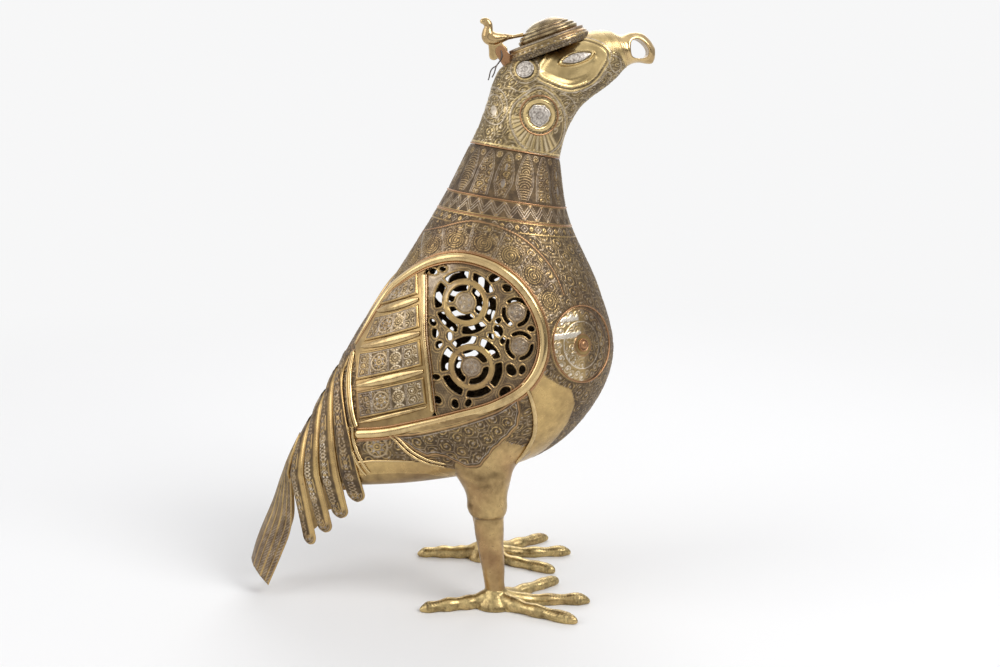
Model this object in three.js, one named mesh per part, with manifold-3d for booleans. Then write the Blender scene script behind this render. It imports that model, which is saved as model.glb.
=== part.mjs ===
// Standing bird in cast and inlaid brass: a hollow pierced vessel with a hinged lid on the crown.
// Millimetres. The bird faces +X, stands on Z = 0, and its right side is the -Y side.
import * as THREE from "three";
import { mergeVertices } from "three/addons/utils/BufferGeometryUtils.js";
import Module from "manifold-3d";

const wasm = await Module();
wasm.setup();

// Driving sizes
const LENGTH = 320; // tail end to beak tip
const WALL = 2.2; // brass wall of body and head
const BODY_GRID = [16, 24]; // facets down the body and round it
const HEAD_GRID = [12, 18];
const INSIDE_GRID = [7, 12];
const GAP = 0.3; // soldered or running gap between neighbours
const CUT_GAP = 0.4; // between the faceted body and what is cut to fit it
const BACK_PHI = 0.12; // nearest that a side piece comes to the line of the back, in radians

// Body sections from the neck seam to the vent: a line from back to breast, and its half width.
const BODY_SECTIONS = [
  { back: [18, 355], front: [86, 343], half: 33 },
  { back: [-5, 311], front: [94, 296], half: 45 },
  { back: [-39, 257], front: [118, 242], half: 63 },
  { back: [-72, 209], front: [130, 191], half: 74 },
  { back: [-95, 167], front: [112, 146], half: 74 },
  { back: [-113, 133], front: [73, 112], half: 66 },
  { back: [-126, 107], front: [5, 97], half: 50 },
  { back: [-132, 91], front: [-72, 93], half: 30 },
];
const BODY_EGG = 0.18; // how much fuller the breast is than the back
const SEAM = BODY_SECTIONS[0];

// Head sections from the neck seam to the root of the beak: a line from nape or crown to throat.
const HEAD_SECTIONS = [
  SEAM,
  { back: [25, 370], front: [91, 362], half: 31 },
  { back: [31, 387], front: [100, 379], half: 29.5 },
  { back: [35, 400], front: [110, 389], half: 29 },
  { back: [42, 412.5], front: [120, 396], half: 28.5 },
  { back: [56, 420.5], front: [127, 401.5], half: 27.5 },
  { back: [79, 428.5], front: [132, 406.5], half: 26 },
  { back: [99, 436], front: [135, 410], half: 23 },
  { back: [114, 439.5], front: [136.5, 411.5], half: 19.5 },
  { back: [125, 438.8], front: [137.7, 412.4], half: 15 },
];
const BEAK_ROOT = HEAD_SECTIONS.at(-1);
const BEAK_STEP = 0.5; // the beak's root stands in from the head's last section

// Beak sections from root to tip: a line from the ridge to the lower edge.
const BEAK_TIP_X = LENGTH / 2;
const BEAK_SECTIONS = [
  { ...BEAK_ROOT, half: BEAK_ROOT.half - BEAK_STEP },
  { back: [133, 436.4], front: [143, 415], half: 11.5 },
  { back: [141, 438.3], front: [148, 415.6], half: 9.8 },
  { back: [148.5, 438], front: [153.5, 414.8], half: 8.2 },
  { back: [155, 433.5], front: [157.8, 415], half: 6.2 },
  { back: [BEAK_TIP_X, 427], front: [BEAK_TIP_X, 418], half: 3 },
];
const BEAK_HOLE = [
  [140.3, 431.5], [145, 433], [151, 429.3], [154, 423.8], [152.2, 419.6], [141, 420.2],
];

// Neck sleeve and copper rings
const HEAD_SEAT = 0.02; // the soldered seam of head and body, in section steps
const SLEEVE = { wall: 1.6, clear: 0.7, up: 0.35, down: 0.2 }; // laps the seam inside, in section steps
const RING_RADIUS = 0.8;
const RING_STATIONS = { seam: 0, band_upper: 0.82, band_lower: 1.1 };

// Wing: lines on the flank seen from the side, as X, Z
const FRAME_LINE = [
  [-72, 137.5], [-51, 141], [-25, 148], [2, 155.5], [31, 164.5], [54, 178.5], [65, 197],
  [66.5, 217], [60, 236.5], [46, 255], [27, 267], [5, 271.3], [-17, 265.5], [-42, 247],
  [-56, 229], [-66, 213], [-73, 201.5],
];
const FRAME = { half: 3.7, rise: 3.4 };
const BAR_LINE = [[-19.5, 257.5], [-20, 215], [-17.3, 188], [-14.6, 159]];
const BAR = { half: 2.3, rise: 2.8 };
const REAR_RIB_LINE = [[-74.6, 196], [-77.4, 178], [-75.6, 153], [-72.6, 142.5]];
const REAR_RIB = { half: 2.8, rise: 3 };
const COVERT_RISE = 1.8;
const COVERT_LIFT = GAP + 0.15;
const COVERTS = [
  [[-24.5, 258], [-24.3, 243], [-54, 231], [-42, 244]],
  [[-24.3, 236], [-23.8, 219.5], [-66, 204.5], [-57, 223]],
  [[-23.6, 211.5], [-22, 192.5], [-72.3, 176], [-69.6, 196.5]],
  [[-21.2, 184.5], [-19.2, 164.5], [-70, 148.5], [-71.8, 168.5]],
];

// Pierced screen in the wing: rings on centres seen from the side
const SCREEN_WALL = 1.9;
const SCREEN_SINK = 0.15; // below the body's surface
const SCREEN_RIM = 1.6; // uncut along the screen's edge
const LARGE_RING = { outer: 22.3, mid: 15.6, inner: 12.2, disc: 8, strap: 3.2, rim: 1.6, web: 2 };
const SMALL_RING = { outer: 10.6, disc: 7.6, strap: 3 };
const UPPER_CENTRE = [9.6, 239.3];
const LOWER_CENTRE = [13.5, UPPER_CENTRE[1] - 2 * LARGE_RING.outer - LARGE_RING.web];
const LARGE_CENTRES = [UPPER_CENTRE, LOWER_CENTRE];
const SMALL_CENTRES = [[47, 232.5], [49.1, 208.3]];
const LEAF_HOLES = [
  [-13.5, 260.5, 1.9], [-14.6, 224, 1.9], [-12.8, 216.5, 2.2], [-10.5, 208.5, 2], [-6.5, 262.6, 1.6],
  [-12, 168, 2.3], [1, 165.2, 2.2], [11, 166, 2], [31, 257.5, 2.7], [40.5, 250, 2.3], [33.8, 219.5, 2.8],
  [36.5, 212.2, 1.6], [33.5, 226.5, 1.6], [58, 220.5, 1.8], [42.5, 190.5, 3], [51, 190.6, 2.2],
  [37.8, 174.6, 3], [-12.6, 184.5, 1.8], [28, 215.6, 1.7], [-2.6, 214.8, 2],
];

// Tail coverts: borders of the four feathers of each side, from the line of the back to the belly
const FEATHER_BORDERS = [
  [[-77.6, 193], [-82.3, 176], [-80.2, 153], [-75.5, 130], [-70.5, 106]],
  [[-85, 187], [-89, 170], [-90, 151], [-88.6, 127], [-85.5, 105]],
  [[-94.5, 168], [-99, 150], [-101, 133], [-101.5, 118], [-101, 103]],
  [[-105.5, 149], [-109, 136], [-111.5, 124], [-113.3, 112], [-114, 101]],
  [[-115.6, 128], [-119.5, 118], [-122.5, 110], [-124.3, 103], [-125.5, 97.5]],
];
const FEATHER_TIPS = [[-72.3, 83.5], [-85.5, 68.5], [-98.3, 54.5], [-111, 41.5]];
const FEATHER = { rise: 2.2, crown: 1.2, thin: 0.8, tipHalf: 6.1, inward: 0.04 };
const FEATHER_LIFT = GAP + 0.5; // clear of the body between two facets

// Tail plate: ridge and near edge below the belly, as X, Z and half width
const TAIL_TIP_X = -LENGTH / 2;
const TAIL_RIDGE = [[-135.5, 90], [-141.5, 73], [-149, 56], [-155.5, 40], [TAIL_TIP_X, 25]];
const TAIL_EDGE = [[-126.5, 90, 12], [-126, 73, 13], [-127, 53, 15], [-135, 32, 18], [-145.5, 8.5, 19]];
const TAIL_PLATE = 2.4;

// Legs and feet, for the right side
const LEG_SECTIONS = [
  { z: 13, x: 32.3, y: -54.5, along: 7.8, across: 7.5 },
  { z: 28, x: 30.4, y: -54.5, along: 9, across: 8.6 },
  { z: 53, x: 27, y: -54, along: 11.6, across: 10.8 },
  { z: 68, x: 25.8, y: -53.5, along: 12.6, across: 12 },
  { z: 74, x: 26.1, y: -53.5, along: 14.8, across: 13.8 },
  { z: 86, x: 26.2, y: -53, along: 15.5, across: 14.4 },
  { z: 95, x: 25.6, y: -51.5, along: 17.6, across: 16.5 },
  { z: 104, x: 24, y: -48.5, along: 21.5, across: 21 },
  { z: 112, x: 21.5, y: -43, along: 29, across: 26 },
  { z: 122, x: 17, y: -40, along: 48, across: 29 },
  { z: 141, x: 11.5, y: -40, along: 68, across: 34.5 },
  { z: 160, x: 14, y: -40, along: 72, across: 38.5 },
  { z: 176, x: 20, y: -40, along: 62, across: 37 },
];
const THIGH_FOOT = [
  [-44, 138], [-31, 126], [-15, 111], [-8, 90], [0, 5], [64, 5], [62, 95], [65, 116], [68.5, 140], [66, 160],
];
const THIGH_TOP = FRAME_LINE.slice(1, 6).toReversed(); // the thigh ends under the wing's frame
const ANKLE = LEG_SECTIONS[0];
// Toes along the ground, hind, middle, outer and inner: X, Y and radius
const TOES = [
  [[26, -55.5, 6.4], [10, -57.5, 5.8], [-8, -60.5, 5.4], [-22.5, -62.3, 3.6], [-26.8, -62.8, 1.6]],
  [[38, -54.5, 6.6], [58, -54, 5.2], [82, -54.5, 4.8], [101, -55.5, 4.3], [106.6, -56, 1.8]],
  [[36, -58, 6.6], [52, -70, 5.6], [72, -84, 5], [87, -93.6, 4], [91, -96, 1.7]],
  [[36, -51, 6.2], [50, -37, 5], [66, -25, 4.7], [83, -13, 4.2], [87, -10.2, 1.8]],
];
const FOOT_HUB = [[-1, 1.75], [3, 1.7], [6.5, 1.45], [9.5, 1.12]]; // height and share of the ankle's width
const TOE_SINK = 0.28; // share of a toe's radius cut off flat where it stands

// Crown: collar, lid, hinge and the small bird that is the lid's thumb piece
const CROWN = { x: 77.1, z: 428.2, tilt: THREE.MathUtils.degToRad(19.6), oval: 0.8 };
const COLLAR = { base: 32.4, top: 29.8, height: 6, mouth: 19.5, sunk: 5 };
// Lid from its top to its rim, and its hollow: radius and height above its seat on the collar
const LID_OUTLINE = [
  [0, 13.6], [5, 13.2], [11, 11.4], [16, 8.2], [18.4, 6.4], [19.4, 5.4], [21.6, 5], [21.8, 3.6], [23.6, 2.4],
  [23, 0],
];
const LID_HOLLOW = [[0, 11.6], [8, 9.8], [13, 7], [13, 0]];
const LID_RADIUS = Math.max(...LID_OUTLINE.map(([radius]) => radius));
const LID_AHEAD = 2.6; // of the middle of the collar
const SKIRT = { clear: 0.9, wall: 1.8, drop: 3.4 }; // hangs in the collar's mouth
const HINGE = { x: 40.6, z: 423.8, pin: 0.5, ear: 4, earWall: 1.7, post: 5.2 };

// The small bird from tail to beak: X, Z, half height and half width
const SMALL_BIRD = [
  [50.4, 434.6, 1.5, 2.4], [46, 434.4, 2.3, 3.2], [41, 433.6, 3.8, 4.2], [35.5, 433, 5.4, 5.2],
  [31.4, 434.6, 5.6, 5.2], [30.6, 438.6, 4.2, 4.2], [31, 442, 3.1, 3.2], [30, 445, 3.5, 3.5],
  [28, 446.3, 3, 3], [26, 445.6, 1.5, 1.5], [24.9, 445, 0.5, 0.5],
];
// The wire's two hanging ends: X, distance outside the ear, Z
const WIRE_ENDS = [
  [[40.6, 0.8, 424.2], [41.5, 1.4, 419.8], [37.2, 1.2, 413], [32.4, 1, 408], [30.8, 1, 402]],
  [[40.9, 1.2, 424], [41, 1.9, 418.8], [36.8, 2, 412], [35.2, 2, 407], [33.6, 2, 404]],
];

// Inlays
const EYE = { x: 95.7, z: 417.8, long: 11.6, high: 3.4, slope: 0.27, rise: 0.9 };
const EAR = { x: 57.4, z: 409.4, radius: 6.8, rise: 1.2 };
const NECK_DISC = { x: 67.5, z: 375.5, radius: 8, rise: 1.2 };
const BREAST_BOSS = { x: 98.3, z: 205.5, radius: 5, rise: 2.6 };
// Copper rims let in round the breast's medallion and the neck's disc
const RIM = { half: 1, rise: 0.8, steps: 16 };
const BREAST_RIM = 29; // radius round the boss
const NECK_RIM = 14.5; // radius round the disc

// Finishes
const finish = (color, roughness, metalness) =>
  new THREE.MeshStandardMaterial({ color, roughness, metalness });
const patinated = finish(0x7a6238, 0.5, 0.9);
const brass = finish(0xb08a3c, 0.35, 1);
const copper = finish(0xa0603c, 0.4, 1);
const silver = finish(0xb9b3ac, 0.4, 1);
const steel = finish(0x55504a, 0.5, 1);

const figure = new THREE.Group();

// Adds a geometry to the figure as a named piece.
function piece(name, geometry, material) {
  const mesh = new THREE.Mesh(geometry, material);
  mesh.name = name;
  figure.add(mesh);
  return mesh;
}

// The same geometry on the other side of the middle plane.
function mirrored(geometry) {
  const copy = geometry.clone();
  copy.scale(1, -1, 1);
  const index = copy.index.array;
  for (let i = 0; i < index.length; i += 3) [index[i + 1], index[i + 2]] = [index[i + 2], index[i + 1]];
  return copy;
}

// Adds a right-hand piece and its mirror image.
function pair(name, geometry, material) {
  piece(`${name}_right`, geometry, material);
  piece(`${name}_left`, mirrored(geometry), material);
}

// A closed geometry as a solid, for cutting and joining, with its faces turned out.
function solid(geometry) {
  const bare = geometry.clone();
  for (const key of Object.keys(bare.attributes)) if (key !== "position") bare.deleteAttribute(key);
  const merged = mergeVertices(bare, 1e-4);
  const triVerts = new Uint32Array(merged.index.array);
  const vertProperties = new Float32Array(merged.attributes.position.array);
  const made = new wasm.Manifold(new wasm.Mesh({ numProp: 3, vertProperties, triVerts }));
  if (made.volume() > 0) return made;
  return new wasm.Manifold(new wasm.Mesh({ numProp: 3, vertProperties, triVerts: triVerts.toReversed() }));
}

// A solid back as an indexed geometry.
function geometryOf(body) {
  const mesh = body.getMesh();
  const points = [];
  for (let i = 0; i < mesh.vertProperties.length; i += mesh.numProp)
    points.push(mesh.vertProperties[i], mesh.vertProperties[i + 1], mesh.vertProperties[i + 2]);
  const geometry = new THREE.BufferGeometry();
  geometry.setAttribute("position", new THREE.Float32BufferAttribute(points, 3));
  geometry.setIndex([...mesh.triVerts]);
  geometry.computeVertexNormals();
  return geometry;
}

// A closed surface through rings of points, with a point in the middle of each end.
function skin(rings) {
  const count = rings[0].length;
  const points = rings.flat();
  const middle = (ring) => ring.reduce((sum, p) => sum.add(p), new THREE.Vector3()).divideScalar(count);
  points.push(middle(rings[0]), middle(rings.at(-1)));
  const start = points.length - 2;
  const end = points.length - 1;
  const faces = [];
  rings.slice(1).forEach((_, r) => {
    for (let i = 0; i < count; i++) {
      const j = (i + 1) % count;
      const a = r * count + i;
      const b = r * count + j;
      faces.push(a, b, a + count, b, b + count, a + count);
    }
  });
  const last = (rings.length - 1) * count;
  for (let i = 0; i < count; i++) {
    const j = (i + 1) % count;
    faces.push(start, j, i, end, last + i, last + j);
  }
  return outward(points, faces);
}

// A surface through rings that closes on its first ring, like a hoop.
function hoop(rings) {
  const count = rings[0].length;
  const points = rings.flat();
  const faces = [];
  rings.forEach((_, r) => {
    const next = ((r + 1) % rings.length) * count;
    for (let i = 0; i < count; i++) {
      const j = (i + 1) % count;
      faces.push(r * count + i, r * count + j, next + i, r * count + j, next + j, next + i);
    }
  });
  return outward(points, faces);
}

// Points and faces as a geometry whose faces point out.
function outward(points, faces) {
  const volume = faces.reduce((sum, _, i) => {
    if (i % 3) return sum;
    const [a, b, c] = [points[faces[i]], points[faces[i + 1]], points[faces[i + 2]]];
    return sum + a.dot(b.clone().cross(c));
  }, 0);
  if (volume < 0)
    for (let i = 0; i < faces.length; i += 3) [faces[i + 1], faces[i + 2]] = [faces[i + 2], faces[i + 1]];
  const geometry = new THREE.BufferGeometry().setFromPoints(points);
  geometry.setIndex(faces);
  geometry.computeVertexNormals();
  return geometry;
}

// A surface lofted through sections that fan out along the neck, with phi from the back round the flank.
class FanLoft {
  constructor(sections, egg = 0) {
    this.sections = sections.map((s) => [...s.back, ...s.front, s.half]);
    this.last = sections.length - 1;
    this.egg = egg;
    this.sense = 1;
    const flank = this.bare(this.last / 2, Math.PI / 2);
    this.sense = Math.sign(-this.normal(this.last / 2, Math.PI / 2).y) * Math.sign(-flank.y);
  }

  // Section values at a place between two sections, on a smooth curve, straight past both ends.
  section(t) {
    const s = this.sections;
    const i = Math.min(Math.max(Math.floor(t), 0), this.last - 1);
    const u = t - i;
    const [b, c] = [s[i], s[i + 1]];
    const a = s[i - 1] ?? b.map((v, k) => 2 * v - c[k]);
    const d = s[i + 2] ?? c.map((v, k) => 2 * v - b[k]);
    if (u < 0) return b.map((v, k) => v + (u * (c[k] - a[k])) / 2);
    if (u > 1) return c.map((v, k) => v + ((u - 1) * (d[k] - b[k])) / 2);
    return b.map((v, k) => {
      const slope = (c[k] - a[k]) / 2;
      const next = (d[k] - b[k]) / 2;
      const rise = c[k] - v;
      return v + u * (slope + u * (3 * rise - 2 * slope - next + u * (slope + next - 2 * rise)));
    });
  }

  bare(t, phi) {
    const [bx, bz, fx, fz, half] = this.section(t);
    const c = -Math.cos(phi);
    const fuller = 1 + this.egg * THREE.MathUtils.clamp((t - 1) / 2.5, 0, 1) * c;
    return new THREE.Vector3(
      (bx + fx + c * (fx - bx)) / 2,
      -half * Math.sin(phi) * fuller,
      (bz + fz + c * (fz - bz)) / 2,
    );
  }

  normal(t, phi) {
    const step = 0.01;
    const along = this.bare(t + step, phi).sub(this.bare(t - step, phi));
    const round = this.bare(t, phi + step).sub(this.bare(t, phi - step));
    return along.cross(round).normalize().multiplyScalar(this.sense);
  }

  point(t, phi, off = 0) {
    return this.bare(t, phi).addScaledVector(this.normal(t, phi), off);
  }

  // The section place and phi of a point of the right flank seen from the side.
  locate(x, z) {
    let [low, high] = [-0.2, this.last + 0.1];
    const beyond = (t) => {
      const [bx, bz, fx, fz] = this.section(t);
      return (fx - bx) * (z - bz) > (fz - bz) * (x - bx);
    };
    const start = beyond(low);
    for (let i = 0; i < 40; i++) {
      const t = (low + high) / 2;
      if (beyond(t) === start) low = t;
      else high = t;
    }
    const [bx, bz, fx, fz] = this.section(low);
    const share = ((x - bx) * (fx - bx) + (z - bz) * (fz - bz)) / ((fx - bx) ** 2 + (fz - bz) ** 2);
    const phi = Math.acos(THREE.MathUtils.clamp(1 - 2 * share, -1, 1));
    return { t: low, phi: THREE.MathUtils.clamp(phi, BACK_PHI, Math.PI - BACK_PHI) };
  }

  side(x, z, off = 0) {
    const { t, phi } = this.locate(x, z);
    return this.point(t, phi, off);
  }

  ring(t, off, count) {
    return Array.from({ length: count }, (_, i) => this.point(t, (2 * Math.PI * i) / count, off));
  }

  // The whole form between two places, moved out by off, and run on past its end by a share of a section.
  form(off, from, to, steps, count, runOn = 0) {
    const places = Array.from({ length: steps + 1 }, (_, k) => from + ((to - from) * k) / steps);
    if (runOn) places.push(to + runOn);
    return solid(skin(places.map((t) => this.ring(t, off, count))));
  }

  // A layer of the right flank between two depths.
  layer(low, high, from, to, steps, count) {
    const span = Math.PI - 2 * BACK_PHI;
    const phis = Array.from({ length: count + 1 }, (_, i) => BACK_PHI + (span * i) / count);
    const rings = Array.from({ length: steps + 1 }, (_, k) => {
      const t = from + ((to - from) * k) / steps;
      const above = phis.map((phi) => this.point(t, phi, high));
      const below = phis.toReversed().map((phi) => this.point(t, phi, low));
      return [...above, ...below];
    });
    return solid(strip(rings));
  }
}

// A closed surface through open sections, each a there-and-back loop, with ends of matching strips.
function strip(rings) {
  const count = rings[0].length;
  const half = count / 2;
  const points = rings.flat();
  const faces = [];
  rings.slice(1).forEach((_, r) => {
    for (let i = 0; i < count; i++) {
      const j = (i + 1) % count;
      const a = r * count + i;
      const b = r * count + j;
      faces.push(a, b, a + count, b, b + count, a + count);
    }
  });
  const last = (rings.length - 1) * count;
  for (let i = 0; i < half - 1; i++) {
    const k = count - 1 - i;
    faces.push(k, i + 1, i, k, k - 1, i + 1);
    faces.push(last + k, last + i, last + i + 1, last + k, last + i + 1, last + k - 1);
  }
  return outward(points, faces);
}

// A flat outline seen from the side, as a prism through the right half of the figure.
function prism(shape, depth = 130) {
  const geometry = new THREE.ExtrudeGeometry(shape, { depth, bevelEnabled: false, curveSegments: 5 });
  return solid(geometry.rotateX(Math.PI / 2));
}

const outline = (points) => new THREE.Shape(points.map(([x, z]) => new THREE.Vector2(x, z)));
const spline = (points, closed = false) =>
  new THREE.CatmullRomCurve3(points.map(([x, z]) => new THREE.Vector3(x, 0, z)), closed, "centripetal");

// A round-topped bead laid on the right flank along a line seen from the side.
function bead(loft, line, { half, rise }, steps, lift = CUT_GAP, taper = () => 1) {
  const curve = spline(line);
  const centre = (u) => {
    const p = curve.getPointAt(THREE.MathUtils.clamp(u, 0, 1));
    return loft.locate(p.x, p.z);
  };
  const rings = Array.from({ length: steps + 1 }, (_, k) => {
    const u = k / steps;
    const { t, phi } = centre(u);
    const [before, after] = [centre(u - 0.01), centre(u + 0.01)];
    const along = loft.bare(after.t, after.phi).sub(loft.bare(before.t, before.phi)).normalize();
    const up = loft.normal(t, phi);
    const across = along.cross(up).normalize();
    const foot = loft.bare(t, phi);
    const width = half * taper(u);
    return [[-1, 0], [-0.8, 0.62], [0, 1], [0.8, 0.62], [1, 0]].map(([s, h]) =>
      foot.clone().addScaledVector(across, s * width).addScaledVector(up, lift + h * rise * taper(u)),
    );
  });
  return solid(skin(rings));
}

const body = new FanLoft(BODY_SECTIONS, BODY_EGG);
const head = new FanLoft(HEAD_SECTIONS);
const beak = new FanLoft(BEAK_SECTIONS);

const bodyClear = body.form(CUT_GAP, 0, body.last, ...BODY_GRID, 0.06);
const headClear = head.form(GAP, 0, head.last, ...HEAD_GRID, 0.1);

// The line of the pierced screen's edge: under the middle of the frame and of the bar.
function screenEdge(grow) {
  const frame = spline(FRAME_LINE).getSpacedPoints(36);
  const [top, bottom] = [BAR_LINE[0], BAR_LINE.at(-1)];
  const arc = frame.filter((p) => p.x > bottom[0] + 1 && (p.z < 200 || p.x > top[0] + 1));
  const points = [...arc.map((p) => [p.x, p.z]), ...BAR_LINE.map(([x, z]) => [x, z])];
  const mean = (axis) => points.reduce((sum, point) => sum + point[axis], 0) / points.length;
  const [cx, cz] = [mean(0), mean(1)];
  return points.map(([x, z]) => {
    const share = 1 + grow / Math.hypot(x - cx, z - cz);
    return [cx + (x - cx) * share, cz + (z - cz) * share];
  });
}

// Points along an arc seen from the side, a facet for every 50 degrees or so.
function arcPoints([x, z], radius, from, to, steps = Math.max(2, Math.ceil(Math.abs(to - from) / 0.9))) {
  return Array.from({ length: steps + 1 }, (_, i) => {
    const turn = from + ((to - from) * i) / steps;
    return new THREE.Vector2(x + radius * Math.cos(turn), z + radius * Math.sin(turn));
  });
}

// An arc-shaped slot between two radii.
function slot(centre, inner, outer, from, to) {
  return new THREE.Shape([...arcPoints(centre, outer, from, to), ...arcPoints(centre, inner, to, from)]);
}

// Slots round a ring, parted by straps of one width.
function slots(centre, inner, outer, count, strap, turn) {
  const half = strap / (inner + outer);
  return Array.from({ length: count }, (_, i) => {
    const from = turn + (2 * Math.PI * i) / count;
    return slot(centre, inner, outer, from + half, from + (2 * Math.PI) / count - half);
  });
}

// The pierced screen: rings, discs and leaves joined by straps.
function screen() {
  const large = LARGE_CENTRES.flatMap((centre, i) => {
    const { outer, mid, inner, disc, strap, rim } = LARGE_RING;
    return [
      ...slots(centre, mid + rim, outer, 6, strap, 0.3 + i),
      ...slots(centre, disc, inner, 3, strap, 1.2 - i),
    ];
  });
  const small = SMALL_CENTRES.flatMap((centre, i) => {
    const { outer, disc, strap } = SMALL_RING;
    return slots(centre, disc, outer, 3, strap, 0.4 + 2 * i);
  });
  const leaves = LEAF_HOLES.map(
    ([x, z, radius]) => new THREE.Shape(arcPoints([x, z], radius, 0, 2 * Math.PI, 4).slice(1)),
  );
  const cuts = [...large, ...small, ...leaves].map((shape) => prism(shape));
  const inside = prism(outline(screenEdge(-GAP - SCREEN_RIM)));
  const holes = cuts.reduce((sum, cut) => sum.add(cut)).intersect(inside);
  const sheet = body.layer(-SCREEN_SINK - SCREEN_WALL, -SCREEN_SINK, 1.2, 4.4, 5, 8);
  return geometryOf(prism(outline(screenEdge(-GAP))).subtract(holes).intersect(sheet));
}

function bodyShell() {
  const outer = body.form(0, 0, body.last, ...BODY_GRID);
  const inner = body.form(-WALL, -0.15, body.last - 0.12, ...INSIDE_GRID);
  const window = prism(outline(screenEdge(0)));
  const windows = window.add(solid(mirrored(geometryOf(window))));
  return outer.subtract(inner).subtract(windows);
}

// The crown's own frame: X up the slope of the crown, origin on the collar's base.
const crownFrame = new THREE.Matrix4()
  .makeTranslation(CROWN.x, 0, CROWN.z)
  .multiply(new THREE.Matrix4().makeRotationY(-CROWN.tilt));

// A turned oval form in the crown's frame, from a profile of radius and height.
function turned(profile, ahead = 0, segments = 18) {
  const points = profile.map(([r, z]) => new THREE.Vector2(r, z));
  const geometry = new THREE.LatheGeometry(points, segments).rotateX(Math.PI / 2);
  geometry.scale(1, CROWN.oval, 1).translate(ahead, 0, 0).applyMatrix4(crownFrame);
  return solid(geometry);
}

function collarProfile(grow) {
  const { base, top, height, mouth, sunk } = COLLAR;
  return [
    [mouth - grow, -sunk], [base + grow, -sunk], [base + grow, 0], [top + 1 + grow, height * 0.45],
    [top + grow, height * 0.55], [top + grow, height + grow], [mouth - grow, height + grow],
    [mouth - grow, -sunk],
  ];
}

function headShell() {
  const outer = head.form(0, HEAD_SEAT, head.last, ...HEAD_GRID);
  const inner = head.form(-WALL, -0.2, head.last - 0.25, ...INSIDE_GRID);
  const { mouth: reach, sunk, height } = COLLAR;
  const floor = -sunk - 14;
  const mouth = turned([[0, floor], [reach, floor], [reach, height], [0, height]]);
  return outer.subtract(inner).subtract(mouth);
}

function neckSleeve() {
  const { wall, clear, up, down } = SLEEVE;
  const rings = (loft, from, to, off) => [from, to].map((t) => loft.ring(t, off, INSIDE_GRID[1]));
  const face = (off) => [...rings(head, up, HEAD_SEAT, off), ...rings(body, HEAD_SEAT, down, off)];
  return hoop([...face(-WALL - clear), ...face(-WALL - clear - wall).toReversed()]);
}

function copperRing(station) {
  const steps = BODY_GRID[1];
  const rings = Array.from({ length: steps }, (_, k) => {
    const phi = (2 * Math.PI * k) / steps;
    const up = body.normal(station, phi);
    const round = body.bare(station, phi + 0.05).sub(body.bare(station, phi - 0.05));
    const along = up.clone().cross(round).normalize();
    const centre = body.point(station, phi, RING_RADIUS + GAP);
    return [0, 1, 2].map((i) => {
      const turn = (Math.PI * (4 * i + 3)) / 6;
      return centre
        .clone()
        .addScaledVector(up, RING_RADIUS * Math.sin(turn))
        .addScaledVector(along, RING_RADIUS * Math.cos(turn));
    });
  });
  return hoop(rings);
}

function covert(points) {
  const sheet = body.layer(COVERT_LIFT, COVERT_LIFT + COVERT_RISE, 1.5, 4.9, 12, 16);
  return prism(outline(points)).intersect(sheet);
}

// One feather: a crowned strip on the body that runs free below the belly to a round tip.
function feather(index) {
  const [front, rear] = [FEATHER_BORDERS[index], FEATHER_BORDERS[index + 1]].map((line) => spline(line));
  const tip = FEATHER_TIPS[index];
  const columns = [-1, -0.4, 0.4, 1];
  const place = (u, s) => {
    const [a, b] = [front.getPoint(u), rear.getPoint(u)];
    const width = a.distanceTo(b);
    const share = (1 + s * (1 - (2 * GAP) / width)) / 2;
    const p = b.clone().lerp(a, share);
    return body.locate(p.x, p.z);
  };
  const swell = (s) => FEATHER.rise + FEATHER.crown * (1 - s * s);
  const rings = [0, 0.25, 0.5, 0.75, 1].map((u) => {
    const spots = columns.map((s) => ({ s, ...place(u, s) }));
    return [
      ...spots.map(({ s, t, phi }) => body.point(t, phi, swell(s))),
      ...spots.toReversed().map(({ t, phi }) => body.point(t, phi, FEATHER_LIFT)),
    ];
  });
  const [left, core, right] = [-1, 0, 1].map((s) => place(1, s));
  const middle = body.bare(core.t, core.phi);
  const up = body.normal(core.t, core.phi);
  const across = body.bare(right.t, right.phi).sub(body.bare(left.t, left.phi));
  const rootHalf = across.length() / 2;
  across.normalize();
  const fall = middle.z - tip[1];
  const end = new THREE.Vector3(tip[0], middle.y * (1 - FEATHER.inward), tip[1]);
  for (const u of [0.45, 0.78, 0.93, 1]) {
    const centre = middle.clone().lerp(end, u);
    const lift = (s) => FEATHER.rise * (1 - u / 2) + FEATHER.crown * (1 - s * s);
    const reach = (1 - u) * fall;
    const round = reach < FEATHER.tipHalf ? Math.sqrt(1 - (1 - reach / FEATHER.tipHalf) ** 2) : 1;
    const half = Math.max(THREE.MathUtils.lerp(rootHalf, FEATHER.tipHalf, Math.min(u * 1.5, 1)) * round, 0.6);
    const spots = columns.map((s) => centre.clone().addScaledVector(across, s * half));
    rings.push([
      ...spots.map((p, i) => p.clone().addScaledVector(up, lift(columns[i]))),
      ...spots.toReversed().map((p) => p.clone().addScaledVector(up, FEATHER_LIFT - u * FEATHER.thin)),
    ]);
  }
  return solid(strip(rings)).subtract(bodyClear);
}

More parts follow.
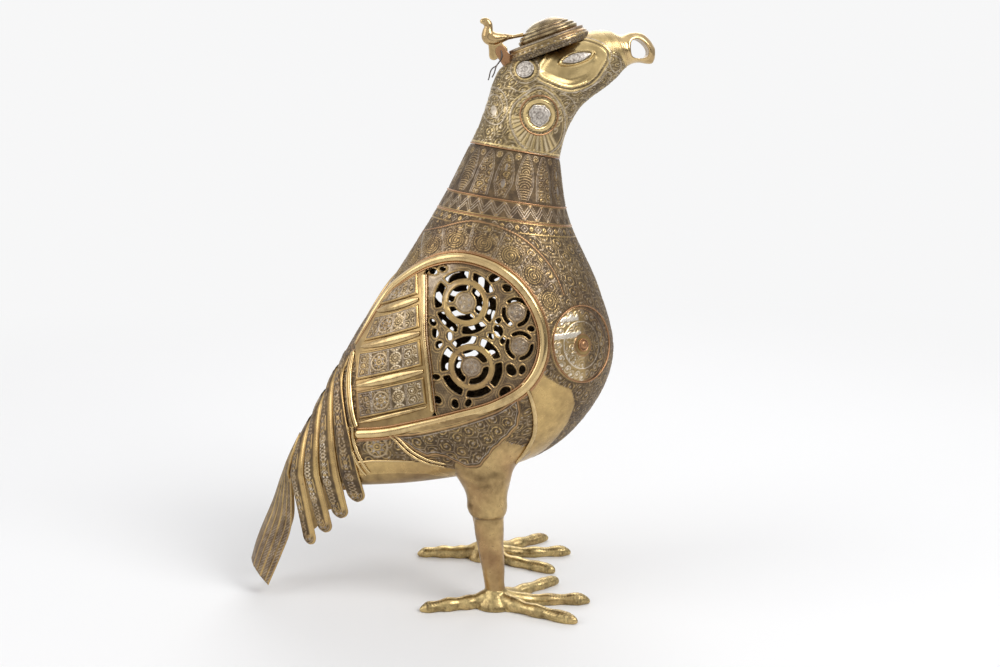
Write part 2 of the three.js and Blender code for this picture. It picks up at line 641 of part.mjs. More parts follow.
// The tail: an arched plate that grows out of the back between the feathers.
function tailPlate() {
  const border = spline(FEATHER_BORDERS.at(-1));
  const columns = [-1, -0.5, 0, 0.5, 1];
  const rings = [0.1, 0.4, 0.7, 1].map((u) => {
    const p = border.getPoint(u);
    const { t, phi } = body.locate(p.x - GAP, p.z);
    return [
      ...columns.map((s) => body.point(t, phi * s * 0.94, GAP + TAIL_PLATE)),
      ...columns.toReversed().map((s) => body.point(t, phi * s * 0.94, -1)),
    ];
  });
  TAIL_RIDGE.forEach(([rx, rz], k) => {
    const [ex, ez, half] = TAIL_EDGE[k];
    const arch = (s, sink) => {
      const turn = (s * Math.PI) / 2;
      const fall = 1 - Math.cos(turn);
      const drop = Math.hypot(ex - rx, ez - rz);
      const [ux, uz] = [(ex - rx) / drop, (ez - rz) / drop];
      return new THREE.Vector3(
        rx + ux * (sink + (drop - sink) * fall),
        -(half - sink) * Math.sin(turn),
        rz + uz * (sink + (drop - sink) * fall),
      );
    };
    rings.push([...columns.map((s) => arch(s, 0)), ...columns.toReversed().map((s) => arch(s, TAIL_PLATE))]);
  });
  return solid(strip(rings)).subtract(bodyClear);
}

function ellipseRing({ x, y, z, along, across }, count) {
  return Array.from({ length: count }, (_, i) => {
    const turn = (2 * Math.PI * i) / count;
    return new THREE.Vector3(x + along * Math.cos(turn), y + across * Math.sin(turn), z);
  });
}

function leg() {
  const form = solid(skin(LEG_SECTIONS.map((section) => ellipseRing(section, 12))));
  const wider = { half: FRAME.half + 2 * GAP, rise: FRAME.rise + 4 };
  const frameRoom = bead(body, FRAME_LINE, wider, 20, -1);
  const side = prism(outline([...THIGH_FOOT, ...THIGH_TOP]));
  return form.intersect(side).subtract(bodyClear).subtract(frameRoom);
}

// A toe: a rounded finger along the ground, cut flat where it stands.
function toe(path) {
  const curve = new THREE.CatmullRomCurve3(path.map(([x, y]) => new THREE.Vector3(x, y, 0)));
  const steps = path.length - 1;
  const rings = Array.from({ length: steps + 1 }, (_, k) => {
    const u = k / steps;
    const p = curve.getPoint(u);
    const along = curve.getTangent(u);
    const across = new THREE.Vector3(-along.y, along.x, 0);
    const spot = u * (path.length - 1);
    const i = Math.min(Math.floor(spot), path.length - 2);
    const radius = THREE.MathUtils.lerp(path[i][2], path[i + 1][2], spot - i);
    return Array.from({ length: 6 }, (_, j) => {
      const turn = (Math.PI * j) / 3;
      return new THREE.Vector3(
        p.x + across.x * radius * Math.cos(turn),
        p.y + across.y * radius * Math.cos(turn),
        radius * (1 - TOE_SINK) + radius * Math.sin(turn),
      );
    });
  });
  return solid(skin(rings));
}

function foot() {
  const { x, y, along, across } = ANKLE;
  const hub = solid(
    skin(
      [...FOOT_HUB, [ANKLE.z - GAP, 1]].map(([z, scale]) =>
        ellipseRing({ x, y, z, along: along * scale, across: across * scale }, 10),
      ),
    ),
  );
  const joined = TOES.reduce((sum, path) => sum.add(toe(path)), hub);
  const ground = solid(new THREE.BoxGeometry(400, 400, 40).translate(0, 0, -20));
  return joined.subtract(ground);
}

// A form turned from a lid outline raised off its seat and grown outward.
function lidForm(line, grow = 0) {
  const seat = COLLAR.height + GAP;
  const raised = line.map(([radius, height]) => [radius + (radius > 0 ? grow : 0), seat + height + grow]);
  return turned([...raised, [0, raised.at(-1)[1]]], LID_AHEAD);
}

function lidSkirt() {
  const { clear, wall, drop } = SKIRT;
  const radius = COLLAR.mouth - clear;
  const [top, low] = [COLLAR.height, COLLAR.height - drop];
  return turned([[radius, low], [radius, top], [radius - wall, top], [radius - wall, low], [radius, low]]);
}

// A tapering round form along points in the middle plane, each with its radius.
function modelled(stations, count = 8) {
  const rings = stations.map(([x, z, radius, wide = radius], k) => {
    const [before, after] = [stations[Math.max(k - 1, 0)], stations[Math.min(k + 1, stations.length - 1)]];
    const along = new THREE.Vector2(after[0] - before[0], after[1] - before[1]).normalize();
    return Array.from({ length: count }, (_, i) => {
      const turn = (2 * Math.PI * i) / count;
      const lift = radius * Math.sin(turn);
      return new THREE.Vector3(x - along.y * lift, wide * Math.cos(turn), z + along.x * lift);
    });
  });
  return solid(skin(rings));
}

// A plate across the middle plane, from an outline seen from the side.
function plate(shape, from, to) {
  const settings = { depth: to - from, bevelEnabled: false, curveSegments: 5 };
  return solid(new THREE.ExtrudeGeometry(shape, settings).rotateX(Math.PI / 2).translate(0, to, 0));
}

function finialBird() {
  const figurine = modelled(SMALL_BIRD);
  const post = new THREE.Shape();
  post.moveTo(32, 431);
  post.lineTo(32, 420.6);
  post.quadraticCurveTo(32.4, 416.6, 36, 416.2);
  post.lineTo(39.6, 418.2);
  post.absarc(HINGE.x, HINGE.z, 5.4, -1.8, 1.2, false);
  post.lineTo(41, 431);
  const bore = new THREE.Path();
  bore.absarc(HINGE.x, HINGE.z, HINGE.pin + GAP, 0, 2 * Math.PI, true);
  post.holes.push(bore);
  return figurine.add(plate(post, -HINGE.post / 2, HINGE.post / 2));
}

// The bar that joins the small bird's tail to the lid.
function lidTab() {
  const base = new THREE.Vector3(LID_AHEAD - LID_RADIUS + 4, 0, COLLAR.height + 7.4).applyMatrix4(crownFrame);
  return modelled([[50.7, 434.8, 1.4, 2.6], [54.5, 435.5, 1.5, 3], [base.x, base.z, 1.8, 4]], 8)
    .subtract(lidForm(LID_OUTLINE, GAP));
}

// One copper ear of the hinge, standing on the nape beside the thumb piece's post.
function hingeEar() {
  const shape = new THREE.Shape();
  shape.absarc(HINGE.x, HINGE.z, HINGE.ear, 0.6, Math.PI + 1.6, false);
  shape.lineTo(44, 412);
  shape.lineTo(52, 418);
  const bore = new THREE.Path();
  bore.absarc(HINGE.x, HINGE.z, HINGE.pin + GAP, 0, 2 * Math.PI, true);
  shape.holes.push(bore);
  const inside = HINGE.post / 2 + GAP;
  const collarRoom = turned(collarProfile(GAP));
  return plate(shape, -inside - HINGE.earWall, -inside).subtract(headClear).subtract(collarRoom);
}

// A stiff wire through the ears and the post, both ends hanging at the right.
function hingeWire() {
  const reach = HINGE.post / 2 + GAP + HINGE.earWall;
  const wire = (points) => {
    const curve = new THREE.CatmullRomCurve3(points.map((p) => new THREE.Vector3(...p)));
    const ring = new THREE.Shape();
    ring.absarc(0, 0, HINGE.pin, 0, 2 * Math.PI, false);
    const geometry = new THREE.ExtrudeGeometry(ring, { steps: 5, extrudePath: curve, curveSegments: 3 });
    return solid(geometry);
  };
  const { x, z } = HINGE;
  const pin = wire([[x, reach + 1.6, z], [x, 0, z], [x, -reach - 1, z]]);
  const ends = WIRE_ENDS.map((end) => wire(end.map(([ex, out, ez]) => [ex, -reach - out, ez])));
  return ends.reduce((sum, end) => sum.add(end), pin);
}

// A low round boss on the right flank of a loft, cut to sit on it.
function roundel(loft, room, { x, z, radius, rise }) {
  const { t, phi } = loft.locate(x, z);
  const centre = loft.bare(t, phi);
  const up = loft.normal(t, phi);
  const side = new THREE.Vector3(0, 0, 1).cross(up).normalize();
  const over = up.clone().cross(side);
  const count = 10;
  const rings = [[1, -2], [1, rise * 0.5], [0.8, rise]].map(([scale, lift]) =>
    Array.from({ length: count }, (_, i) => {
      const turn = (2 * Math.PI * i) / count;
      return centre
        .clone()
        .addScaledVector(up, lift)
        .addScaledVector(side, radius * scale * Math.cos(turn))
        .addScaledVector(over, radius * scale * Math.sin(turn));
    }),
  );
  return solid(skin(rings)).subtract(room);
}

// A thin raised rim laid round a boss of the right flank.
function inlaidRim(loft, boss, radius) {
  const { t, phi } = loft.locate(boss.x, boss.z);
  const centre = loft.bare(t, phi);
  const up = loft.normal(t, phi);
  const side = new THREE.Vector3(0, 0, 1).cross(up).normalize();
  const over = up.clone().cross(side);
  const rings = Array.from({ length: RIM.steps }, (_, i) => {
    const turn = (2 * Math.PI * i) / RIM.steps;
    return [[-1, 0], [0, 1], [1, 0]].map(([s, h]) => {
      const reach = radius + s * RIM.half;
      const place = centre
        .clone()
        .addScaledVector(side, reach * Math.cos(turn))
        .addScaledVector(over, reach * Math.sin(turn));
      return loft.side(place.x, place.z, CUT_GAP + h * RIM.rise);
    });
  });
  return hoop(rings);
}

function eye() {
  const shape = new THREE.Shape();
  const { x, z, long, high, slope, rise } = EYE;
  const [dx, dz] = [Math.cos(slope) * long, Math.sin(slope) * long];
  const [nx, nz] = [-Math.sin(slope) * high * 2, Math.cos(slope) * high * 2];
  shape.moveTo(x - dx, z - dz);
  shape.quadraticCurveTo(x + nx, z + nz, x + dx, z + dz);
  shape.quadraticCurveTo(x - nx, z - nz, x - dx, z - dz);
  const sheet = head.layer(GAP, GAP + rise, 4, 8, 8, 14);
  return prism(shape).intersect(sheet);
}

function beakForm() {
  const hole = spline(BEAK_HOLE, true).getPoints(20).slice(0, -1).map((p) => [p.x, p.z]);
  const through = plate(outline(hole), -20, 20);
  return beak.form(0, 0, beak.last, 8, 12).subtract(through).subtract(headClear);
}

// The figure
piece("body_shell", geometryOf(bodyShell()), patinated);
piece("neck_sleeve", neckSleeve(), brass);
piece("head_shell", geometryOf(headShell()), patinated);
piece("beak", geometryOf(beakForm()), brass);
for (const [name, station] of Object.entries(RING_STATIONS))
  piece(`copper_ring_${name}`, copperRing(station), copper);

pair("wing_screen", screen(), patinated);
const frameTaper = (u) => (u > 0.86 ? 1 - (u - 0.86) * 4 : 1);
pair("wing_frame", geometryOf(bead(body, FRAME_LINE, FRAME, 30, CUT_GAP, frameTaper)), brass);
pair("wing_bar", geometryOf(bead(body, BAR_LINE, BAR, 10)), brass);
pair("wing_rear_rib", geometryOf(bead(body, REAR_RIB_LINE, REAR_RIB, 8)), brass);
COVERTS.forEach((points, i) => pair(`wing_covert_${i + 1}`, geometryOf(covert(points)), patinated));
FEATHER_TIPS.forEach((_, i) => pair(`tail_feather_${i + 1}`, geometryOf(feather(i)), patinated));
piece("tail_plate", geometryOf(tailPlate()), patinated);
pair("leg", geometryOf(leg()), brass);
pair("foot", geometryOf(foot()), brass);

piece("crown_collar", geometryOf(turned(collarProfile(0)).subtract(headClear)), copper);
piece("lid_dome", geometryOf(lidForm(LID_OUTLINE).subtract(lidForm(LID_HOLLOW))), brass);
piece("lid_skirt", geometryOf(lidSkirt()), brass);
piece("lid_tab", geometryOf(lidTab()), brass);
piece("finial_bird", geometryOf(finialBird()), brass);
pair("hinge_ear", geometryOf(hingeEar()), copper);
piece("hinge_wire", geometryOf(hingeWire()), steel);

pair("eye_inlay", geometryOf(eye()), silver);
pair("ear_roundel", geometryOf(roundel(head, headClear, EAR)), silver);
pair("neck_disc", geometryOf(roundel(head, headClear, NECK_DISC)), silver);
pair("breast_boss", geometryOf(roundel(body, bodyClear, BREAST_BOSS)), brass);
pair("breast_rim", inlaidRim(body, BREAST_BOSS, BREAST_RIM), copper);
pair("neck_rim", inlaidRim(head, NECK_DISC, NECK_RIM), copper);

export default figure;
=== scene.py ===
"""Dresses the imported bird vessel: inlaid skin, pierced wings, feathers, legs and crown, and its studio."""
import logging
import math
from dataclasses import dataclass, field
from enum import Enum
from typing import Callable, Iterable, Sequence

import bpy
import numpy as np
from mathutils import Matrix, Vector


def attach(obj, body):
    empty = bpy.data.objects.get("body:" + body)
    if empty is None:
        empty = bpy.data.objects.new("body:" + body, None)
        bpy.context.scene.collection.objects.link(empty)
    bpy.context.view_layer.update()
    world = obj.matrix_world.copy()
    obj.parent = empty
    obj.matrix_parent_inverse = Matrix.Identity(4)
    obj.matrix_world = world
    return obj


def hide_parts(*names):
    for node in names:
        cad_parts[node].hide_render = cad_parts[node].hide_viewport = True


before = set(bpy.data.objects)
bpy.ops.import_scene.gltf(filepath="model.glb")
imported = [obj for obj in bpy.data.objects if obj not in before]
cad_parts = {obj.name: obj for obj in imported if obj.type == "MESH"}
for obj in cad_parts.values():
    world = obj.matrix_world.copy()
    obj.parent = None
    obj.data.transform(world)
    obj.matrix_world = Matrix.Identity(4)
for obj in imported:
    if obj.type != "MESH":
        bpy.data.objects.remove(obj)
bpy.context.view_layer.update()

MM = 0.001
TAU = 2 * math.pi
Array = np.ndarray
log = logging.getLogger("bird")
KEYS = ("height", "ground", "silver", "copper", "polish")


# Small maths

def smooth(low: float, high: float, value: Array) -> Array:
    """Rises smoothly from 0 at low to 1 at high: 3 s squared less 2 s cubed of the share between them."""
    share = np.clip((value - low) / (high - low), 0, 1)
    return share * share * (3 - 2 * share)


def line(distance: Array, half: float, soft: float = 0.22) -> Array:
    """1 within half of a line and 0 beyond it, with a soft edge."""
    return 1 - smooth(half - soft, half + soft, np.abs(distance))


def disc(distance: Array, radius: float, soft: float = 0.22) -> Array:
    """1 inside a radius and 0 outside it, with a soft edge."""
    return 1 - smooth(radius - soft, radius + soft, distance)


def lerp(a: Array | float, b: Array | float, share: Array | float) -> Array | float:
    """The value a share of the way from a to b."""
    return a + (b - a) * share


def wave(value: Array, period: float) -> Array:
    """Distance along a repeat from its middle, from minus to plus half a period."""
    return value - period * np.floor(value / period) - period / 2


def chance(*cells: Array) -> Array:
    """A fixed number for every cell: the broken part of a large sine of its numbers.

    Args:
        cells: the cells' numbers, one grid for each direction.

    Returns:
        Numbers from 0 to 1.
    """
    total = sum(cell * factor for cell, factor in zip(cells, (127.1, 311.7, 74.7)))
    value = np.sin(total) * 43758.5453
    return value - np.floor(value)


def unit(vectors: Array) -> Array:
    """Vectors of length 1 along the last axis."""
    return vectors / np.maximum(np.linalg.norm(vectors, axis=-1, keepdims=True), 1e-9)


def circle(count: int) -> Array:
    """Angles at even steps round a circle."""
    return np.arange(count) * TAU / count


def travel(points: Array, axis: int = 0) -> Array:
    """Distance run along an axis of a grid of points: the sum of the steps' lengths."""
    steps = np.linalg.norm(np.diff(points, axis=axis), axis=-1)
    return np.concatenate([np.zeros_like(np.take(steps, [0], axis)), np.cumsum(steps, axis)], axis)


def spline(points: Sequence[Sequence[float]], count: int, closed: bool = False) -> Array:
    """Evenly spaced points on a centripetal curve through the given points.

    Args:
        points: what the curve goes through.
        count: how many points come back.
        closed: whether it comes back to its first point.

    Returns:
        The points, count by the size of one point. Each stretch is blended from straight lines between knots
        that lie apart by the square root of the distance between neighbours.
    """
    p = np.asarray(points, float)
    if closed:
        p = np.vstack([p[-1], p, p[0], p[1]])
    else:
        p = np.vstack([2 * p[0] - p[1], p, 2 * p[-1] - p[-2]])
    dense = []
    for a, b, c, d in zip(p[:-3], p[1:-2], p[2:-1], p[3:]):
        t0 = 0.0
        t1 = t0 + max(np.linalg.norm(b - a), 1e-6) ** 0.5
        t2 = t1 + max(np.linalg.norm(c - b), 1e-6) ** 0.5
        t3 = t2 + max(np.linalg.norm(d - c), 1e-6) ** 0.5
        t = np.linspace(t1, t2, 24, endpoint=False)[:, None]
        e = (t1 - t) / (t1 - t0) * a + (t - t0) / (t1 - t0) * b
        f = (t2 - t) / (t2 - t1) * b + (t - t1) / (t2 - t1) * c
        g = (t3 - t) / (t3 - t2) * c + (t - t2) / (t3 - t2) * d
        h = (t2 - t) / (t2 - t0) * e + (t - t0) / (t2 - t0) * f
        k = (t3 - t) / (t3 - t1) * f + (t - t1) / (t3 - t1) * g
        dense.append((t2 - t) / (t2 - t1) * h + (t - t1) / (t2 - t1) * k)
    path = np.vstack(dense + [p[-2][None]])
    length = travel(path)
    at = np.linspace(0, length[-1], count + closed)[:count]
    return np.stack([np.interp(at, length, path[:, k]) for k in range(path.shape[1])], axis=1)


def inside(outline: Array, x: Array, z: Array) -> Array:
    """Finds the points in a closed outline: an odd number of its edges crosses the line to the right.

    Args:
        outline: its corners.
        x, z: the points.

    Returns:
        True where a point is inside.
    """
    found = np.zeros(x.shape, bool)
    for (ax, az), (bx, bz) in zip(outline, np.roll(outline, -1, axis=0)):
        if az == bz:
            continue
        crosses = (az > z) != (bz > z)
        found ^= crosses & (x < (bx - ax) * (z - az) / (bz - az) + ax)
    return found


def distance_to(path: Array, points: Array, closed: bool = False) -> tuple[Array, Array]:
    """Nearest distance from points to a path of straight steps, and how far along the path that is.

    Args:
        path: K points of the path.
        points: a grid of points, of the same size.
        closed: whether the path comes back to its first point.

    Returns:
        Distance and place along the path, in the points' own unit and the grid's shape.
    """
    path = np.vstack([path, path[:1]]) if closed else path
    flat = points.reshape(-1, points.shape[-1])
    best, place = np.full(len(flat), np.inf), np.zeros(len(flat))
    run = 0.0
    for a, b in zip(path[:-1], path[1:]):
        step = b - a
        long = float(np.linalg.norm(step))
        if long < 1e-9:
            continue
        share = np.clip((flat - a) @ step / long ** 2, 0, 1)
        away = np.linalg.norm(flat - a - share[:, None] * step, axis=1)
        nearer = away < best
        best[nearer], place[nearer] = away[nearer], run + share[nearer] * long
        run += long
    return best.reshape(points.shape[:-1]), place.reshape(points.shape[:-1])


def leaned(x: Array, z: Array, angle: float) -> tuple[Array, Array]:
    """Two coordinates as seen along axes turned by an angle from the first towards the second."""
    return x * math.cos(angle) + z * math.sin(angle), -x * math.sin(angle) + z * math.cos(angle)


# Ornament

@dataclass
class Relief:
    """Worked surface over a set of points: its height in mm, and how far each paint covers it."""

    height: Array
    ground: Array
    silver: Array
    copper: Array
    polish: Array

    @staticmethod
    def blank(like: Array, polish: Array | float = 0.0, **more: Array | float) -> "Relief":
        """Plain metal over points of the same shape, with a height or masks of its own."""
        given = {"polish": polish, **more}
        return Relief(*(np.zeros(like.shape) + given.get(k, 0.0) for k in KEYS))

    def plus(self, **more: Array | float) -> "Relief":
        """This surface with more height, or more of a mask."""
        return Relief(*(getattr(self, k) + more[k] if k in more else getattr(self, k) for k in KEYS))

    def lay(self, mask: Array, other: "Relief") -> "Relief":
        """This surface with another laid over it where the mask is 1."""
        return Relief(*(lerp(getattr(self, k), getattr(other, k), mask) for k in KEYS))

    def wire(self, mask: Array, rise: float, metal: "Metal") -> "Relief":
        """This surface with a raised line of one metal where the mask is 1."""
        return self.lay(mask, Relief.blank(mask, **{"height": rise, metal.value: 1.0}))

    def wires(self, away: Array, rows: Sequence[tuple]) -> "Relief":
        """Lays lines of one metal each.

        Args:
            away: distance to a curve or an edge.
            rows: each line's distance, half width, rise and metal.

        Returns:
            The surface with the lines.
        """
        work = self
        for at, half, rise, metal in rows:
            work = work.wire(line(away - at, half), rise, metal)
        return work

    def paint(self) -> Array:
        """The four masks as one colour per point: ground, silver, copper and polish."""
        return np.clip(np.stack([getattr(self, k) for k in KEYS[1:]], axis=-1), 0, 1).astype(np.float32)


class Metal(Enum):
    """What a worked line is made of, by the mask that it paints."""

    GOLD = "polish"
    SILVER = "silver"
    COPPER = "copper"
    DARK = "ground"


CUT = 0.34  # how deep the ground is cut below raised work, in mm


def worked(raised: Array, silver: Array | float, gold: Array | float = 0.25) -> Relief:
    """Raised work on a dark cut ground.

    Args:
        raised: 1 where the metal stands up.
        silver: 1 where it is inlaid with silver.
        gold: 1 where it is worn bright.

    Returns:
        The surface, with its height from 0 on the ground to the full cut on raised work.
    """
    return Relief(raised * CUT, 1 - raised, silver * raised, np.zeros(raised.shape), gold * raised)


def plate_of(like: Array, silver: float = 1.0, gold: float = 0.25) -> Relief:
    """Raised metal all over, silver unless told otherwise."""
    return worked(np.ones(like.shape), silver, gold)


def scrolls(u: Array, v: Array, cell: float, turn: float = 0.0) -> Relief:
    """A field of vines, each curled up in a compartment of its own.

    One middle stands in each cell, pushed aside by a fixed chance, and every other column is set half a cell
    lower. A point belongs to the nearest middle; where the second nearest is as near, a thin silver net
    runs. Round its middle the vine is a spiral, whose radius falls by one pitch in each turn. Leaves swell
    it where a cosine of the angle is high, and a lobed bud ends it.

    Args:
        u, v: place on the surface, in mm.
        cell: width of a cell, in mm.
        turn: a number that changes the chances.

    Returns:
        The worked surface.
    """
    i, j = np.floor(u / cell), np.floor(v / cell)
    near, second = np.full(u.shape, 1e3), np.full(u.shape, 1e3)
    x, y, pick = np.zeros(u.shape), np.zeros(u.shape), np.zeros(u.shape)
    for a, b in ((i + di, j + dj) for di in (-1, 0, 1) for dj in (-1, 0, 1)):
        dx = u - (a + 0.5 + 0.3 * (chance(a, b + turn) - 0.5)) * cell
        dy = v - (b + 0.25 + 0.5 * np.mod(a, 2) + 0.3 * (chance(b, a + turn) - 0.5)) * cell
        away = np.hypot(dx, dy)
        closer = away < near
        second = np.where(closer, near, np.minimum(second, away))
        x, y, near = np.where(closer, dx, x), np.where(closer, dy, y), np.where(closer, away, near)
        pick = np.where(closer, chance(a + 7, b + turn), pick)
    r, angle = near, np.arctan2(y, x) + TAU * 3 * pick
    hand = np.where(np.mod(pick * 10, 2) > 1, 1.0, -1.0)
    edge = (second - near) / 2
    pitch = 0.24 * cell
    coil = wave(r + pitch * hand * angle / TAU, pitch)
    swell = np.clip(np.cos(3 * angle + 0.5 * r), 0, 1) ** 3
    stem = line(coil, 0.26 + 0.42 * swell, 0.28) * disc(r, 0.41 * cell) * smooth(0.08 * cell, 0.12 * cell, r)
    stem = stem * smooth(0.5, 1.0, edge)
    bud = disc(r * (1 + 0.22 * np.cos(4 * angle)), 0.085 * cell)
    outer = line(r - 0.48 * cell, 0.5) * smooth(0.1, 0.5, np.cos(7 * angle)) * smooth(0.9, 1.3, edge)
    net = line(edge, 0.28, 0.3) * (0.55 + 0.45 * (np.mod(pick * 7, 1) > 0.35))
    silver = np.maximum.reduce([
        net * (0.45 + 0.5 * (pick > 0.3)), bud * 0.9, stem * swell * (pick < 0.55), outer,
    ])
    return worked(np.maximum.reduce([net, stem, bud, outer]), silver, gold=0.25 + 0.45 * (1 - silver))


def knots(u: Array, v: Array, high: float, pitch: float) -> Relief:
    """A band of lozenge knots and ringed dots that repeats along u.

    Args:
        u: place along the band, in mm.
        v: place across it from its middle, in mm.
        high: height of the band.
        pitch: length of one repeat.

    Returns:
        The worked surface. Each repeat has a lozenge whose four sides are equal sums of the two distances, a
        smaller one in it, a ring with a dot between two lozenges, and a line along both edges.
    """
    w = wave(u, pitch)
    half = high / 2
    lozenge = np.abs(w) / (0.3 * pitch) + np.abs(v) / (0.78 * half)
    knot = np.maximum(line(lozenge - 0.84, 0.15, 0.08), disc(lozenge, 0.34, 0.08))
    r = np.hypot(half * 2 * wave(u + pitch / 2, pitch) / high, v)
    hoop = np.maximum(line(r - 0.3 * half, 0.09 * half + 0.1), disc(r, 0.1 * half))
    beads = pearls(u, np.abs(v) - 0.7 * half, pitch / 2, 0.1 * half) * (lozenge > 1.1)
    raised = np.maximum.reduce([knot, hoop, beads, line(np.abs(v) - 0.92 * half, 0.06 * half + 0.12)])
    return worked(raised, knot, gold=0.35 + 0.5 * (1 - knot))


def zigzag(u: Array, v: Array, high: float, pitch: float) -> Relief:
    """A double zigzag line with a dot in each bay. The line's height is a folded ramp of u.

    Args:
        u, v: along and across the band.
        high: the band's height.
        pitch: length of one zigzag.

    Returns:
        The band's surface.
    """
    fold = np.abs(wave(u, pitch)) * 4 / pitch - 1
    away = (v - fold * 0.3 * high) * 0.7
    main = line(away, 0.045 * high)
    second = line(np.abs(away) - 0.17 * high, 0.035 * high) * (np.abs(v) < 0.46 * high)
    bay = np.hypot(wave(u + pitch / 2, pitch), v - 0.36 * high)
    dots = np.maximum(disc(bay, 0.09 * high), disc(np.hypot(wave(u, pitch), v + 0.36 * high), 0.09 * high))
    edges = line(np.abs(v) - 0.5 * high, 0.25)
    return worked(np.maximum.reduce([main, second, dots, edges]), np.maximum(main, second), gold=0.2)


def braid(u: Array, v: Array, high: float, pitch: float) -> Relief:
    """Two strands that cross: a sine of u and the same turned over, with a dot in each eye.

    Args:
        u, v: along and across the band.
        high: the band's height.
        pitch: length of one wave.

    Returns:
        The band's surface.
    """
    swing = 0.3 * high * np.sin(TAU * u / pitch)
    strands = np.maximum(line(v - swing, 0.09 * high), line(v + swing, 0.09 * high))
    eye = disc(np.hypot(wave(u + pitch / 4, pitch / 2), v), 0.09 * high)
    return worked(np.maximum(strands, eye), strands * 0.6, gold=0.5)


def pearls(u: Array, v: Array, pitch: float, radius: float) -> Array:
    """A row of round dots along u."""
    return disc(np.hypot(wave(u, pitch), v), radius)


def leafage(u: Array, v: Array, pitch: float, high: float) -> Relief:
    """A wavy stem, a sine of u, with a curled leaf in each bend, a ring whose radius grows as it turns.

    Args:
        u, v: along and across the stem.
        pitch: length of one wave.
        high: the band's height.

    Returns:
        The band's surface.
    """
    swing = 0.22 * high * np.sin(TAU * u / pitch)
    stem = line(v - swing, 0.06 * high)
    side = np.where(np.mod(np.floor(2 * u / pitch), 2) > 0, 1.0, -1.0)
    x = wave(u, pitch / 2)
    y = v - side * 0.12 * high
    r, a = np.hypot(x, y), np.arctan2(y, x)
    curl = line(r - (0.17 + 0.04 * a * side) * high, 0.055 * high) * (r < 0.34 * high)
    bud = disc(r, 0.085 * high)
    return worked(np.maximum.reduce([stem, curl, bud]), np.maximum(bud, 0.7 * curl), gold=0.45)


def plait(u: Array, v: Array, high: float) -> Relief:
    """A narrow strip along u: a stretch of braid, then lozenges, then a ringed flower, and again.

    Args:
        u: place along the strip, in mm.
        v: place across it from its middle.
        high: width of the strip.

    Returns:
        The worked surface. Each of the three takes up one stretch of 1.6 widths.
    """
    pitch = 1.6 * high
    part = np.mod(np.floor(u / pitch), 3)
    middle = wave(u, pitch)
    flower = rosette(middle, v, 0.48 * high, 5)
    dots = disc(np.hypot(np.abs(middle) - 0.66 * high, np.abs(v) - 0.22 * high), 0.12 * high)
    out = braid(u, v, high * 1.1, pitch / 2).lay(part == 1, knots(u, v, high * 1.1, pitch / 2))
    out = out.lay(part == 2, worked(dots, dots))
    return out.lay((part == 2) * disc(np.hypot(middle, v), 0.48 * high), flower)


def rosette(x: Array, y: Array, radius: float, petals: int = 6) -> Relief:
    """A round flower: a rim, petals whose radius swells with a cosine of the angle, and a ringed dot.

    Args:
        x, y: places from its middle.
        radius: out to the rim.
        petals: how many.

    Returns:
        The flower's surface.
    """
    r, a = np.hypot(x, y), np.arctan2(y, x)
    petal = r * (1 + 0.3 * np.cos(petals * a))
    rim = line(r - 0.9 * radius, 0.07 * radius + 0.1)
    edge = line(petal - 0.66 * radius, 0.07 * radius)
    heart = np.maximum(disc(r, 0.12 * radius), line(r - 0.28 * radius, 0.06 * radius))
    fill = disc(petal, 0.5 * radius) * (1 - disc(r, 0.36 * radius))
    return worked(np.maximum.reduce([rim, edge, heart, fill]), np.maximum(fill, rim * 0.6), gold=0.5)


def whorl(x: Array, y: Array, radius: float, pitch: float) -> Relief:
    """A gold wire wound outward from a bud, with a rim and small leaves round it.

    Args:
        x: place from the middle, in mm.
        y: the other place from it.
        radius: out to the rim.
        pitch: from one turn of the wire to the next.

    Returns:
        The worked surface: the wire lies where the distance less the turned share of the pitch is a whole
        number of pitches.
    """
    r, turn = np.hypot(x, y), np.arctan2(y, x)
    coil = line(wave(r - turn / TAU * pitch, pitch), 0.17 * pitch) * (r < 0.72 * radius)
    leaves = disc(np.hypot(wave(turn * 0.84 * radius, 2.1), 1.5 * (r - 0.84 * radius)), 0.8)
    rim = line(r - 0.98 * radius, 0.25)
    raised = np.maximum.reduce([coil, leaves, rim, disc(r, 0.45 * pitch)])
    return worked(raised, np.maximum(0.8 * rim, 0.35 * leaves), gold=0.35 + 0.3 * coil)


